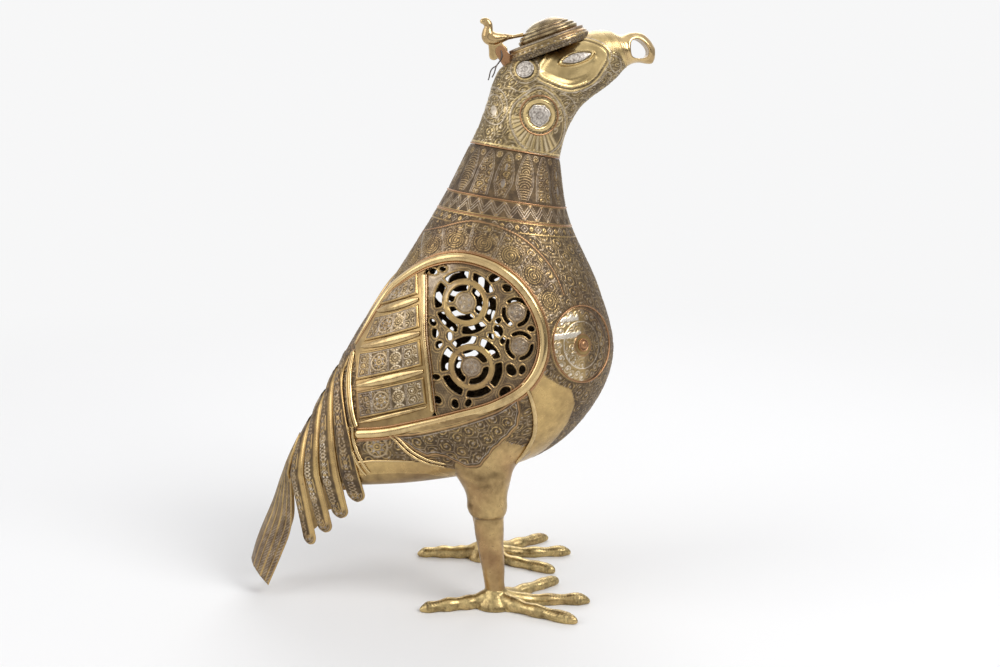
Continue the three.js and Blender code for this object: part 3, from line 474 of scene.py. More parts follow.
def panels(u: Array, v: Array, wide: float, high: float) -> Relief:
    """Tall panels side by side round the neck.

    Each has a silver outline that closes in a pointed arch at its top, and a second line inside it. They are
    filled in turn with a scroll and silver fruits, with rows of arcs, and with a scroll. A small whorl stands
    over every join.

    Args:
        u: place round the neck, in mm.
        v: place up from the foot of the panels.
        wide: width of a panel.
        high: height of the panels.

    Returns:
        The worked surface.
    """
    index = np.floor(u / wide)
    x, kind = wave(u, wide), np.mod(index, 3)
    half, rise = 0.43 * wide, 0.97 * high
    arch = half * np.sqrt(np.clip(1 - np.clip((v - 0.45 * high) / (rise - 0.45 * high), 0, 1) ** 1.4, 0, 1))
    arch = arch * np.where(kind == 2, 1.0, 0.45 + 0.55 * smooth(0.02 * high, 0.4 * high, v))
    depth = arch - np.abs(x)
    within = (depth > 1.7) & (v > 0.06 * high) & (v < rise)
    side = np.maximum(line(depth, 0.28), line(depth - 1.2, 0.2)) * (v < rise + 0.3) * (v > 0.05 * high)
    arcs = line(wave(np.hypot(x, wave(v, 0.3 * high) + 0.15 * high), 1.9), 0.32)
    fruit = np.maximum(disc(np.hypot(x * 1.5, (v - 0.33 * high) * 0.6), 0.34 * half),
                       disc(np.hypot(x * 1.9, (v - 0.66 * high) * 0.5), 0.26 * half))
    stem = scrolls(x + index * 3.0, v, half * 1.05).lay(fruit, worked(fruit, fruit))
    filling = worked(arcs, 0.35 * arcs, 0.55).lay(kind == 0, stem)
    filling = filling.lay(kind == 2, scrolls(x + 5.0, v + 2.0 * index, half * 0.95, 4.0))
    out = worked(np.zeros(u.shape), 0.0).lay(within, filling).wire(side, CUT * 1.15, Metal.SILVER)
    wx, wy = wave(u + wide / 2, wide), v - 0.9 * high
    return out.lay(disc(np.hypot(wx, wy), 0.17 * wide), whorl(wx, wy, 0.17 * wide, 1.3))


# Lofts

Section = tuple[float, float, float, float, float]


@dataclass
class FanLoft:
    """A surface through sections that fan out along the neck: each has a middle line and a half width.

    A place on it is t, counted in sections, and phi, the angle from the line of the back round the right
    flank to the breast, and on round the left flank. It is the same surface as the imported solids'.
    """

    sections: Sequence[Section]
    egg: float = 0.0
    sense: float = field(default=1.0, init=False)

    def __post_init__(self) -> None:
        """Turns the normals outwards."""
        rows = np.asarray(self.sections, float)
        self.padded = np.vstack([2 * rows[0] - rows[1], rows, 2 * rows[-1] - rows[-2]])
        self.last = len(rows) - 1
        middle, flank = np.array([self.last / 2]), np.array([math.pi / 2])
        outward = np.sign(self.bare(middle, flank)[0, 1])
        self.sense = float(np.sign(self.normal(middle, flank)[0, 1]) * outward)

    def section(self, t: Array) -> Array:
        """Blends the sections by a cubic between neighbours, straight beyond both ends.

        Args:
            t: places along the loft.

        Returns:
            Back x and z, front x and z and half width at each place.
        """
        i = np.clip(np.floor(t), 0, self.last - 1).astype(int)
        u = (t - i)[..., None]
        a, b, c, d = (self.padded[i + k] for k in range(4))
        slope, after, rise = (c - a) / 2, (d - b) / 2, c - b
        cubic = b + u * (slope + u * (3 * rise - 2 * slope - after + u * (slope + after - 2 * rise)))
        return np.where(u < 0, b + u * slope, np.where(u > 1, c + (u - 1) * after, cubic))

    def bare(self, t: Array, phi: Array) -> Array:
        """Finds points: along the section's line by less than cosine, and out by half times sine.

        Args:
            t, phi: places on the surface.

        Returns:
            The points.
        """
        bx, bz, fx, fz, half = np.moveaxis(self.section(t), -1, 0)
        c = -np.cos(phi)
        fuller = 1 + self.egg * np.clip((t - 1) / 2.5, 0, 1) * c
        x, z = (bx + fx + c * (fx - bx)) / 2, (bz + fz + c * (fz - bz)) / 2
        return np.stack([x, -half * np.sin(phi) * fuller, z], axis=-1)

    def normal(self, t: Array, phi: Array) -> Array:
        """Takes the normals from small steps both ways.

        Args:
            t, phi: places on the surface.

        Returns:
            Outward directions.
        """
        s = 0.01
        along = self.bare(t + s, phi) - self.bare(t - s, phi)
        round_ = self.bare(t, phi + s) - self.bare(t, phi - s)
        return unit(np.cross(along, round_)) * self.sense

    def point(self, t: Array, phi: Array, off: Array | float = 0.0) -> Array:
        """Points off the surface by a distance."""
        return self.bare(t, phi) + self.normal(t, phi) * np.asarray(off)[..., None]

    def locate(self, x: Array, z: Array, margin: float = 0.06) -> tuple[Array, Array]:
        """Finds places on the right flank by halving the range of t 34 times.

        Args:
            x, z: the points seen from the side.
            margin: how close to the middle plane phi may come.

        Returns:
            t and phi.
        """
        x, z = np.broadcast_arrays(np.asarray(x, float), np.asarray(z, float))
        low, high = np.full(x.shape, -0.2), np.full(x.shape, self.last + 0.1)

        def beyond(t: Array) -> Array:
            """Which side of the section's line each point is on."""
            bx, bz, fx, fz, _ = np.moveaxis(self.section(t), -1, 0)
            return (fx - bx) * (z - bz) > (fz - bz) * (x - bx)

        start = beyond(low)
        for _ in range(34):
            middle = (low + high) / 2
            same = beyond(middle) == start
            low, high = np.where(same, middle, low), np.where(same, high, middle)
        bx, bz, fx, fz, _ = np.moveaxis(self.section(low), -1, 0)
        share = ((x - bx) * (fx - bx) + (z - bz) * (fz - bz)) / ((fx - bx) ** 2 + (fz - bz) ** 2)
        return low, np.clip(np.arccos(np.clip(1 - 2 * share, -1, 1)), margin, math.pi - margin)

    def side(self, x: Array, z: Array, off: Array | float = 0.0) -> Array:
        """Points of the right flank seen from the side at x, z."""
        return self.point(*self.locate(x, z), off)

    def axes(self, x: float, z: float) -> tuple[Array, Array, Array, Array]:
        """Finds the directions at a place on the right flank.

        Args:
            x, z: the place seen from the side.

        Returns:
            Its point, the outward normal, and the level and rising directions beside it.
        """
        t, phi = self.locate(np.array([x]), np.array([z]))
        up = self.normal(t, phi)[0]
        side = unit(np.cross(np.array([0.0, 0.0, 1.0]), up))
        return self.bare(t, phi)[0], up, side, np.cross(up, side)

    def dish(self, x: float, z: float, reach: Array, lift: Array) -> Array:
        """Lays rings round a place on the right flank.

        Args:
            x, z: the place seen from the side.
            reach: their reach along the surface.
            lift: their lift off it.

        Returns:
            The rings.
        """
        centre, up, side, over = self.axes(x, z)
        turn = circle(reach.shape[-1])
        rings = centre + side * (reach * np.cos(turn))[..., None] + over * (reach * np.sin(turn))[..., None]
        return rings + up * lift[..., None]


# Meshes

def mirrored(points: Array) -> Array:
    """The same points on the left side."""
    return points * np.array([1, -1, 1])


def grid_normals(points: Array, closed: bool) -> Array:
    """Normals of a grid of points, from the cross product of its steps down and across.

    Args:
        points: rows by columns by 3.
        closed: whether the columns run round and meet.

    Returns:
        Unit normals of the same shape.
    """
    down = np.gradient(points, axis=0)
    if closed:
        across = (np.roll(points, -1, axis=1) - np.roll(points, 1, axis=1)) / 2
    else:
        across = np.gradient(points, axis=1)
    return unit(np.cross(down, across))


def object_from(
    name: str, points: Array, faces: Sequence[Array], normals: Array | None = None,
    paint: Array | None = None,
) -> bpy.types.Object:
    """Puts points and faces into a mesh object at the origin.

    Args:
        name: the object's name.
        points: N points in mm.
        faces: arrays of vertex numbers, each array with one row for every face of one size.
        normals: a normal for each point, for smooth shading across the edges of neighbouring pieces.
        paint: the four masks of each point.

    Returns:
        The new object.
    """
    loops = np.concatenate([f.ravel() for f in faces])
    used, loops = np.unique(loops, return_inverse=True)
    sizes = np.concatenate([np.full(len(f), f.shape[1]) for f in faces])
    starts = np.concatenate([[0], np.cumsum(sizes)[:-1]])
    mesh = bpy.data.meshes.new(name)
    mesh.vertices.add(len(used))
    mesh.vertices.foreach_set("co", (points[used] * MM).astype(np.float32).ravel())
    mesh.loops.add(len(loops))
    mesh.loops.foreach_set("vertex_index", loops.ravel().astype(np.int32))
    mesh.polygons.add(len(sizes))
    mesh.polygons.foreach_set("loop_start", starts.astype(np.int32))
    mesh.polygons.foreach_set("use_smooth", np.ones(len(sizes), bool))
    mesh.update(calc_edges=True)
    if paint is not None:
        layer = mesh.color_attributes.new("worked", "FLOAT_COLOR", "POINT")
        layer.data.foreach_set("color", paint[used].astype(np.float32).ravel())
    if normals is not None:
        mesh.normals_split_custom_set_from_vertices(normals[used].astype(np.float32))
    made = bpy.data.objects.new(name, mesh)
    bpy.context.scene.collection.objects.link(made)
    return made


def tube_faces(rows: int, columns: int, flip: bool, hoop: bool = False, caps: bool = True) -> list[Array]:
    """Faces of rings of points laid one after another, with a flat face on each end.

    Args:
        rows: number of rings.
        columns: points in a ring.
        flip: turns every face over.
        hoop: whether the last ring joins the first.
        caps: whether the two ends are closed.

    Returns:
        Arrays of faces.
    """
    r = np.arange(rows if hoop else rows - 1)[:, None]
    c = np.arange(columns)[None, :]
    a, b = r * columns + c, r * columns + (c + 1) % columns
    n = (r + 1) % rows * columns
    d, e = n + c, n + (c + 1) % columns
    quads = np.stack([a, b, e, d], axis=-1).reshape(-1, 4)
    out = [quads[:, ::-1] if flip else quads]
    if caps and not hoop:
        first = np.arange(columns)[None, ::-1]
        last = np.arange(columns)[None, :] + (rows - 1) * columns
        out += [first[:, ::-1], last[:, ::-1]] if flip else [first, last]
    return out


def volume(points: Array, faces: Sequence[Array]) -> float:
    """Adds up the triple products of a closed surface's fanned faces.

    Args:
        points: its points.
        faces: the corners of each face.

    Returns:
        Six times the space inside.
    """
    total = 0.0
    for f in faces:
        for k in range(1, f.shape[1] - 1):
            a, b, c = points[f[:, 0]], points[f[:, k]], points[f[:, k + 1]]
            total += float(np.einsum("ij,ij->", a, np.cross(b, c)))
    return total


@dataclass
class Part:
    """Points, faces and paint of one closed surface, before it goes into an object."""

    points: Array
    faces: list[Array]
    paint: Array

    @staticmethod
    def tube(rings: Array, relief: Relief | None = None, hoop: bool = False, polish: float = 0.6) -> "Part":
        """A closed tube through rings of points, turned outwards.

        Args:
            rings: rows by columns by 3.
            relief: the paint of its points, by rows and columns.
            hoop: whether the last ring joins the first.
            polish: how bright it is where no relief is given.

        Returns:
            The part.
        """
        rows, columns = rings.shape[:2]
        points = rings.reshape(-1, 3)
        faces = tube_faces(rows, columns, False, hoop)
        if volume(points, faces) < 0:
            faces = tube_faces(rows, columns, True, hoop)
        paint = (relief or Relief.blank(rings[..., 0], polish)).paint().reshape(-1, 4)
        return Part(points, faces, paint)

    def on_left(self) -> "Part":
        """The same part on the left side, with its faces turned back."""
        return Part(mirrored(self.points), [f[:, ::-1] for f in self.faces], self.paint)


def joined(name: str, parts: Iterable[Part]) -> bpy.types.Object:
    """Makes one object from several closed parts.

    Args:
        name: the object's name.
        parts: the parts.

    Returns:
        The object.
    """
    parts = list(parts)
    starts = np.cumsum([0] + [len(p.points) for p in parts[:-1]])
    sizes: dict[int, list[Array]] = {}
    for part, start in zip(parts, starts):
        for f in part.faces:
            sizes.setdefault(f.shape[1], []).append(f + start)
    faces = [np.vstack(group) for group in sizes.values()]
    points = np.vstack([p.points for p in parts])
    return object_from(name, points, faces, paint=np.vstack([p.paint for p in parts]))


def sharpen(made: bpy.types.Object, degrees: float = 42) -> None:
    """Marks edges that turn by more than an angle as sharp."""
    made.data.set_sharp_from_angle(angle=math.radians(degrees))


def pillow(top: Array, bottom: Array, relief: Relief | None = None, polish: float = 0.6) -> Part:
    """A closed plate between a grid of top points and one of bottom points, joined along its four edges.

    Args:
        top, bottom: rows by columns by 3.
        relief: paint of the top, by rows and columns.
        polish: how bright it is where no relief is given.

    Returns:
        The part: each ring goes across the top and back along the bottom.
    """
    rings = np.concatenate([top, bottom[:, ::-1]], axis=1)
    if relief is None:
        return Part.tube(rings, polish=polish)
    under = Relief.blank(bottom[..., 0], 0.2)
    both = Relief(*(np.concatenate([getattr(relief, k), getattr(under, k)], axis=1) for k in KEYS))
    return Part.tube(rings, both)


def swept(
    path: Array, up: Array, profile: Array, width: Array | float = 1.0, rise: Array | float = 1.0,
    hoop: bool = False, relief: Relief | None = None, polish: float = 0.6,
) -> Part:
    """A profile carried along a path.

    Args:
        path: K points.
        up: K directions that the profile's second value goes along.
        profile: P pairs, across and up, in mm.
        width, rise: factors on the two, for each point of the path or for all.
        hoop: whether the path closes on itself.
        relief: paint, by path and profile.
        polish: how bright it is where no relief is given.

    Returns:
        The part. Across is the cross product of the path's direction and up.
    """
    if hoop:
        along = unit(np.roll(path, -1, axis=0) - np.roll(path, 1, axis=0))
    else:
        along = unit(np.gradient(path, axis=0))
    up = unit(up - along * np.sum(up * along, axis=1, keepdims=True))
    across = np.cross(along, up)
    w = np.broadcast_to(np.asarray(width, float), (len(path),))[:, None, None]
    h = np.broadcast_to(np.asarray(rise, float), (len(path),))[:, None, None]
    s, t = profile[None, :, 0, None], profile[None, :, 1, None]
    rings = path[:, None] + across[:, None] * s * w + up[:, None] * t * h
    return Part.tube(rings, relief, hoop, polish)


def round_profile(half: float, rise: float, count: int = 12, sink: float = 0.6) -> Array:
    """A half round, closed under itself by a flat.

    Args:
        half: half its width.
        rise: its height.
        count: points in the arc.
        sink: how far the flat is sunk below it.

    Returns:
        Across and out, in mm.
    """
    turn = np.linspace(0, math.pi, count)
    arch = np.stack([-half * np.cos(turn), rise * np.sin(turn)], axis=1)
    return np.vstack([arch, [[half, -sink], [-half, -sink]]])


def wire_profile(radius: float, count: int = 8) -> Array:
    """A full circle as a profile."""
    turn = circle(count)
    return radius * np.stack([np.cos(turn), np.sin(turn)], axis=1)


def shell(
    name: str, outer: Array, inner: Array, keep: Array, normals: Array, paint: Array, step: int,
) -> bpy.types.Object:
    """A wall between a fine outer grid and a coarse inner one, with blocks left out for openings.

    Every step by step block of outer squares has one inner square behind it. Along each edge between a kept
    block and a missing one, or an end, one face joins the outer points of that edge to its two inner points.

    Args:
        name: the object's name.
        outer: rows + 1 by columns by 3, closed round its columns.
        inner: the coarse grid of the same surface, closed the same way.
        keep: which blocks there are.
        normals: outward normals of the outer grid.
        paint: four masks for each outer point.
        step: outer squares to a block, both ways.

    Returns:
        The object.
    """
    rows, columns = keep.shape
    m, n = rows * step, columns * step
    fine = keep.repeat(step, axis=0).repeat(step, axis=1)
    i, j = np.nonzero(fine)
    quads = np.stack([i * n + j, i * n + (j + 1) % n, (i + 1) * n + (j + 1) % n, (i + 1) * n + j], axis=1)
    base = (m + 1) * n
    p, q = np.nonzero(keep)
    back = base + np.stack(
        [(p + 1) * columns + q, (p + 1) * columns + (q + 1) % columns, p * columns + (q + 1) % columns,
         p * columns + q], axis=1)
    walls = []
    padded = np.vstack([np.zeros((1, columns), bool), keep, np.zeros((1, columns), bool)])
    for sign in (1, -1):
        upper, lower = padded[:-1], padded[1:]
        p, q = np.nonzero(lower & ~upper if sign > 0 else upper & ~lower)
        run = (q[:, None] * step + np.arange(step + 1)) % n + p[:, None] * step * n
        tail = base + np.stack([p * columns + (q + 1) % columns, p * columns + q], axis=1)
        wall = np.hstack([run, tail])
        walls.append(wall[:, ::-1] if sign > 0 else wall)
        left = np.roll(keep, 1, axis=1)
        p, q = np.nonzero(keep & ~left if sign > 0 else left & ~keep)
        run = (p[:, None] * step + np.arange(step + 1)) * n + q[:, None] * step % n
        tail = base + np.stack([(p + 1) * columns + q, p * columns + q], axis=1)
        wall = np.hstack([run, tail])
        walls.append(wall if sign > 0 else wall[:, ::-1])
    faces = [quads, back, np.vstack(walls)]
    flat = outer.reshape(-1, 3)
    a, b, c = flat[quads[:, 0]], flat[quads[:, 1]], flat[quads[:, 3]]
    guide = normals.reshape(-1, 3)[quads[:, 0]]
    facing = float(np.mean(np.einsum("ij,ij->i", np.cross(b - a, c - a), guide)))
    if facing < 0:
        faces = [f[:, ::-1] for f in faces]
    inside_paint = np.zeros((inner.shape[0] * inner.shape[1], 4), np.float32)
    inside_paint[:, 0] = 0.85
    coarse = -normals[::step, ::step].reshape(-1, 3)
    return object_from(
        name, np.vstack([flat, inner.reshape(-1, 3)]), faces, np.vstack([normals.reshape(-1, 3), coarse]),
        np.vstack([paint.reshape(-1, 4), inside_paint]),
    )


# Shading

Color = tuple[float, float, float]
Value = "Link | float"


class Link:
    """A socket of a shader graph that takes part in Python sums."""

    def __init__(self, graph: "Graph", socket: bpy.types.NodeSocket) -> None:
        """Keeps the graph and the socket."""
        self.graph = graph
        self.socket = socket

    def math(self, operation: str, *values: Value, clamp: bool = False) -> "Link":
        """One Math node of this value and others."""
        settings = {"operation": operation, "use_clamp": clamp}
        return self.graph.node("ShaderNodeMath", settings, dict(enumerate((self, *values))))["Value"]

    def __add__(self, other: Value) -> "Link":
        """The sum."""
        return self.math("ADD", other)

    def __mul__(self, other: Value) -> "Link":
        """The product."""
        return self.math("MULTIPLY", other)

    def __sub__(self, other: Value) -> "Link":
        """The difference."""
        return self.math("SUBTRACT", other)

    def __rsub__(self, other: float) -> "Link":
        """A number less this value."""
        return self.graph.node("ShaderNodeMath", {"operation": "SUBTRACT"}, {0: other, 1: self})["Value"]

    __radd__ = __add__
    __rmul__ = __mul__

    def above(self, low: float, high: float) -> "Link":
        """This value spread from 0 at low to 1 at high, and held there."""
        limits = {0: self, 1: low, 2: high, 3: 0.0, 4: 1.0}
        return self.graph.node("ShaderNodeMapRange", {"interpolation_type": "SMOOTHSTEP"}, limits)["Result"]

    def clamped(self) -> "Link":
        """This value held between 0 and 1."""
        return self.math("ADD", 0.0, clamp=True)


class Outputs:
    """The outputs of a node, by name, as links."""

    def __init__(self, graph: "Graph", node: bpy.types.Node) -> None:
        """Keeps the graph and the node."""
        self.graph = graph
        self.made = node

    def __getitem__(self, key: str | int) -> Link:
        """One output."""
        return Link(self.graph, self.made.outputs[key])


class Graph:
    """The node tree of a material or of the world."""

    def __init__(self, tree: bpy.types.NodeTree) -> None:
        """Empties the tree."""
        self.tree = tree
        tree.nodes.clear()

    def node(self, kind: str, settings: dict | None = None, inputs: dict | None = None) -> Outputs:
        """Adds a node.

        Args:
            kind: its type.
            settings: its own properties, set first; a ramp's stops go under "stops".
            inputs: a value or link for each socket, by name or number.

        Returns:
            The node's outputs.
        """
        made = self.tree.nodes.new(kind)
        for key, value in (settings or {}).items():
            if key == "stops":
                for stop, (place, color) in zip(made.color_ramp.elements, value):
                    stop.position, stop.color = place, (*color, 1)
            else:
                setattr(made, key, value)
        for key, value in (inputs or {}).items():
            if isinstance(value, Link):
                self.tree.links.new(value.socket, made.inputs[key])
            else:
                made.inputs[key].default_value = value
        return Outputs(self, made)

    def blend(self, a: "Link | Color", b: "Link | Color", share: Value, mode: str = "MIX") -> Link:
        """Passes one colour into another.

        Args:
            a, b: the colours.
            share: 0 for the first, 1 for the second.
            mode: how they mix.

        Returns:
            The mixed colour.
        """
        full = [(*c, 1.0) if isinstance(c, tuple) else c for c in (a, b)]
        settings = {"data_type": "RGBA", "blend_type": mode, "clamp_factor": True}
        made = self.tree.nodes.new("ShaderNodeMix")
        for key, value in settings.items():
            setattr(made, key, value)
        for socket, value in ((made.inputs[0], share), (made.inputs[6], full[0]), (made.inputs[7], full[1])):
            if isinstance(value, Link):
                self.tree.links.new(value.socket, socket)
            else:
                socket.default_value = value
        return Link(self, made.outputs[2])

    def noise(self, place: Link, size: float, detail: float = 2.0, rough: float = 0.5, **more: float) -> Link:
        """Noise whose waves are about size mm long."""
        inputs = {"Vector": place, "Scale": 1 / (size * MM), "Detail": detail, "Roughness": rough, **more}
        return self.node("ShaderNodeTexNoise", {}, inputs)["Fac"]

    def stretched(self, place: Link, factors: Color, turn: Color = (0.0, 0.0, 0.0)) -> Link:
        """Coordinates turned and stretched."""
        inputs = {"Vector": place, "Scale": factors, "Rotation": turn}
        return self.node("ShaderNodeMapping", {}, inputs)["Vector"]


@dataclass(frozen=True)
class Finish:
    """One metal finish: colours, gloss and wear. Sizes are in mm."""

    name: str
    slot: str
    bright: Color = (0.56, 0.39, 0.165)
    dull: Color = (0.21, 0.135, 0.064)
    dark: Color = (0.046, 0.031, 0.020)
    silver: Color = (0.47, 0.41, 0.345)
    tarnish: Color = (0.17, 0.135, 0.115)
    copper: Color = (0.41, 0.225, 0.115)
    gloss: float = 0.27
    patches: float = 34.0
    tone: float = 0.36
    dents: float = 0.12
    grain: float = 0.1
    spots: float = 0.4
    inlaid: bool = True
    polish: float = 0.6
    warm: float = 0.28
    # pale silver where polish is near full: polished silver, and a painted highlight where polish is raised
    # to stand for light
    polished_silver_and_painted_highlight: Color = (0.84, 0.77, 0.66)

    def material(self) -> bpy.types.Material:
        """Builds the finish from the worked attribute and the object's coordinates.

        Returns:
            The material.
        """
        made = bpy.data.materials.new(self.name)
        made.use_nodes = True
        g = Graph(made.node_tree)
        place = g.node("ShaderNodeTexCoord")["Object"]
        ground, silver, copper, polish = 0.0, 0.0, 0.0, self.polish
        if self.inlaid:
            worked_ = g.node("ShaderNodeAttribute", {"attribute_name": "worked"})
            split = g.node("ShaderNodeSeparateColor", {}, {"Color": worked_["Color"]})
            ground, silver, copper, polish = split["Red"], split["Green"], split["Blue"], worked_["Alpha"]
        broad = g.noise(place, self.patches, 3, 0.6)
        middle = g.noise(place, self.patches / 5, 3, 0.6)
        fine = g.noise(place, 1.1, 2, 0.6)
        specks = g.noise(place, 2.6, 4, 0.7)
        tone = (broad - 0.5) * 2.1 + (middle - 0.5) * 1.1 + polish * 0.62 + self.tone
        metal = g.blend(self.dull, self.bright, tone.clamped())
        reddish = (g.noise(place, self.patches * 1.6, 2) - 0.45).above(0.0, 0.25) * self.warm
        metal = g.blend(metal, self.copper, reddish * (1 - polish * 0.5))
        metal = g.blend(metal, self.copper, copper * 0.9)
        worn = (middle - 0.5) * 2.4 + (fine - 0.5) * 0.9 + 0.55
        aged = g.blend(self.tarnish, self.silver, worn.clamped())
        if self.inlaid:
            # Silver turns pale where polish passes 0.9: polished silver in places, and a painted highlight
            # where polish was raised to stand for light.
            aged = g.blend(aged, self.polished_silver_and_painted_highlight, polish.above(0.9, 1.0))
        metal = g.blend(metal, aged, silver * 0.95)
        spot = specks.above(0.60, 0.72) * self.spots
        metal = g.blend(metal, self.dark, spot * (1 - polish * 0.6))
        deep = (0.74 + 0.26 * fine) * ground
        color = g.blend(metal, g.blend(self.dark, self.dull, middle.above(0.42, 0.75) * 0.6), deep)
        rough = (0.5 - middle) * 0.18 + ground * 0.2 + spot * 0.2 + fine * 0.07 + silver * 0.08
        rough = rough + (1 - polish) * 0.06 + (self.gloss - 0.03)
        metallic = (1 - ground * 0.38) - spot * 0.4
        along = g.stretched(place, (0.25, 1.0, 1.0), (0.3, 0.5, 0.2))
        scratches = g.noise(along, 0.5, 2, 0.6)
        pits = g.node("ShaderNodeTexVoronoi", {}, {"Vector": place, "Scale": 1 / (1.15 * MM)})["Distance"]
        height = g.noise(place, 12, 2) * self.dents * 3 + fine * self.grain
        height = height + scratches * self.grain * 0.5 + pits * ground * 0.22 - spot * 0.1
        bump = g.node("ShaderNodeBump", {}, {"Strength": 0.55, "Distance": 0.4 * MM, "Height": height})
        shader = g.node("ShaderNodeBsdfPrincipled", {}, {
            "Base Color": color, "Roughness": rough.clamped(), "Metallic": metallic.clamped(),
            "Normal": bump["Normal"],
        })
        g.node("ShaderNodeOutputMaterial", {}, {"Surface": shader["BSDF"]})
        return made


class Wardrobe:
    """The finishes of the bird, each made once."""

    INLAID = Finish("inlaid_brass", "patinated_brass")
    HEAD = Finish(
        "gilt_inlaid_brass", "patinated_brass", bright=(0.74, 0.56, 0.27), dull=(0.25, 0.175, 0.078),
        tone=0.42, dark=(0.075, 0.052, 0.026), silver=(0.66, 0.58, 0.47), tarnish=(0.26, 0.21, 0.16),
    )
    SMOOTH = Finish(
        "smooth_brass", "polished_brass", bright=(0.66, 0.485, 0.24), dull=(0.24, 0.16, 0.075), tone=0.3,
        gloss=0.2, dents=0.3, spots=0.3, patches=22,
    )
    LEG = Finish(
        "cast_leg", "polished_brass", bright=(0.55, 0.385, 0.175), dull=(0.165, 0.105, 0.05), gloss=0.27,
        dents=0.5, patches=30, spots=0.6, grain=0.16, tone=0.3, warm=0.55,
    )
    FOOT = Finish(
        "cast_foot", "polished_brass", bright=(0.68, 0.52, 0.24), dull=(0.13, 0.085, 0.038), gloss=0.33,
        dents=1.0, patches=9, spots=0.9, grain=0.35, tone=0.26,
    )
    COPPER = Finish(
        "copper", "copper", bright=(0.44, 0.255, 0.13), dull=(0.13, 0.072, 0.04), tone=0.15, gloss=0.3,
        spots=0.5, patches=14,
    )
    CROWN = Finish(
        "crown_brass", "copper", bright=(0.50, 0.365, 0.17), dull=(0.13, 0.09, 0.05), tone=0.12, gloss=0.26,
        patches=12, spots=0.5, silver=(0.6, 0.53, 0.43),
    )
    SILVER = Finish(
        "silver_inlay", "silver", bright=(0.82, 0.77, 0.70), dull=(0.24, 0.21, 0.19), tone=0.4, patches=8,
        gloss=0.3, dents=0.4, silver=(0.80, 0.74, 0.66), tarnish=(0.22, 0.18, 0.155),
    )
    LID = Finish(
        "turned_lid", "polished_brass", bright=(0.60, 0.48, 0.27), dull=(0.17, 0.125, 0.07), tone=0.1,
        gloss=0.22, spots=0.35, dents=0.3, patches=18,
    )
    WIRE = Finish(
        "binding_wire", "wire", bright=(0.2, 0.18, 0.165), dull=(0.07, 0.06, 0.055), tone=0.3, patches=6,
        gloss=0.4,
    )
    PLAIN = Finish("plain_brass", "polished_brass", inlaid=False, tone=0.2)

    def __init__(self) -> None:
        """Starts with nothing made."""
        self.made: dict[str, bpy.types.Material] = {}

    def material(self, finish: Finish) -> bpy.types.Material:
        """Makes a finish's material once and hands it out.

        Args:
            finish: the finish.

        Returns:
            Its material.
        """
        if finish.name not in self.made:
            self.made[finish.name] = finish.material()
        return self.made[finish.name]

    def dress(self, piece: bpy.types.Object, finish: Finish, *nodes: str, body: str = "figure") -> None:
        """Gives a new piece its finish, its body and the nodes that it stands for.

        Args:
            piece: the new object.
            finish: what it is made of.
            nodes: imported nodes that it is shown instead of.
            body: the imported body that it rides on.
        """
        piece.data.materials.clear()
        piece.data.materials.append(self.material(finish))
        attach(piece, body)
        if nodes:
            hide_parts(*nodes)
        log.info("%s: %d faces on %s", piece.name, len(piece.data.polygons), body)

    def pair(self, name: str, parts: list[Part], finish: Finish, node: str = "") -> None:
        """Dresses a piece of the right side and its mirror image on the left.

        Args:
            name: start of the two pieces' names.
            parts: what the right one is made of.
            finish: what both are made of.
            node: start of the names of the two nodes that they stand for, if there are any.
        """
        for side, turned in (("right", parts), ("left", [part.on_left() for part in parts])):
            self.dress(joined(f"{name}_{side}", turned), finish, *([f"{node}_{side}"] if node else []))

    def redress(self, node: str, finish: Finish) -> None:
        """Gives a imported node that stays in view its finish."""
        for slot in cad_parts[node].material_slots:
            slot.material = self.material(finish)


# The body

BODY = FanLoft([
    (18, 355, 86, 343, 33), (-5, 311, 94, 296, 45), (-39, 257, 118, 242, 63), (-72, 209, 130, 191, 74),
    (-95, 167, 112, 146, 74), (-113, 133, 73, 112, 66), (-126, 107, 5, 97, 50), (-132, 91, -72, 93, 30),
], egg=0.18)
HEAD = FanLoft([
    (18, 355, 86, 343, 33), (25, 370, 91, 362, 31), (31, 387, 100, 379, 29.5), (35, 400, 110, 389, 29),
    (42, 412.5, 120, 396, 28.5), (56, 420.5, 127, 401.5, 27.5), (79, 428.5, 132, 406.5, 26),
    (99, 436, 135, 410, 23), (114, 439.5, 136.5, 411.5, 19.5), (125, 438.8, 137.7, 412.4, 15),
])
WALL = 2.2

FRAME_LINE = [
    (-72, 137.5), (-51, 141), (-25, 148), (2, 155.5), (31, 164.5), (54, 178.5), (65, 197), (66.5, 217),
    (60, 236.5), (46, 255), (27, 267), (5, 271.3), (-17, 265.5), (-42, 247), (-56, 229), (-66, 213),
    (-73, 201.5),
]
BAR_LINE = [(-19.5, 257.5), (-20, 215), (-17.3, 188), (-14.6, 159)]
REAR_RIB_LINE = [(-74.6, 196), (-77.4, 178), (-75.6, 153), (-72.6, 142.5)]
FEATHER_BORDERS = [
    [(-77.6, 193), (-82.3, 176), (-80.2, 153), (-75.5, 130), (-70.5, 106)],
    [(-85, 187), (-89, 170), (-90, 151), (-88.6, 127), (-85.5, 105)],
    [(-94.5, 168), (-99, 150), (-101, 133), (-101.5, 118), (-101, 103)],
    [(-105.5, 149), (-109, 136), (-111.5, 124), (-113.3, 112), (-114, 101)],
    [(-115.6, 128), (-119.5, 118), (-122.5, 110), (-124.3, 103), (-125.5, 97.5)],
]


def window_line(grow: float) -> Array:
    """Draws the pierced screen's edge: along the frame's middle, and back along the bar.

    Args:
        grow: how far it is moved out, in mm.

    Returns:
        A closed outline seen from the side.
    """
    arc = spline(FRAME_LINE, 90)
    top, bottom = BAR_LINE[0], BAR_LINE[-1]
    arc = arc[(arc[:, 0] > bottom[0] + 1) & ((arc[:, 1] < 200) | (arc[:, 0] > top[0] + 1))]
    points = np.vstack([arc, spline(BAR_LINE, 20)])
    away = points - points.mean(axis=0)
    return points.mean(axis=0) + away * (1 + grow / np.linalg.norm(away, axis=1, keepdims=True))


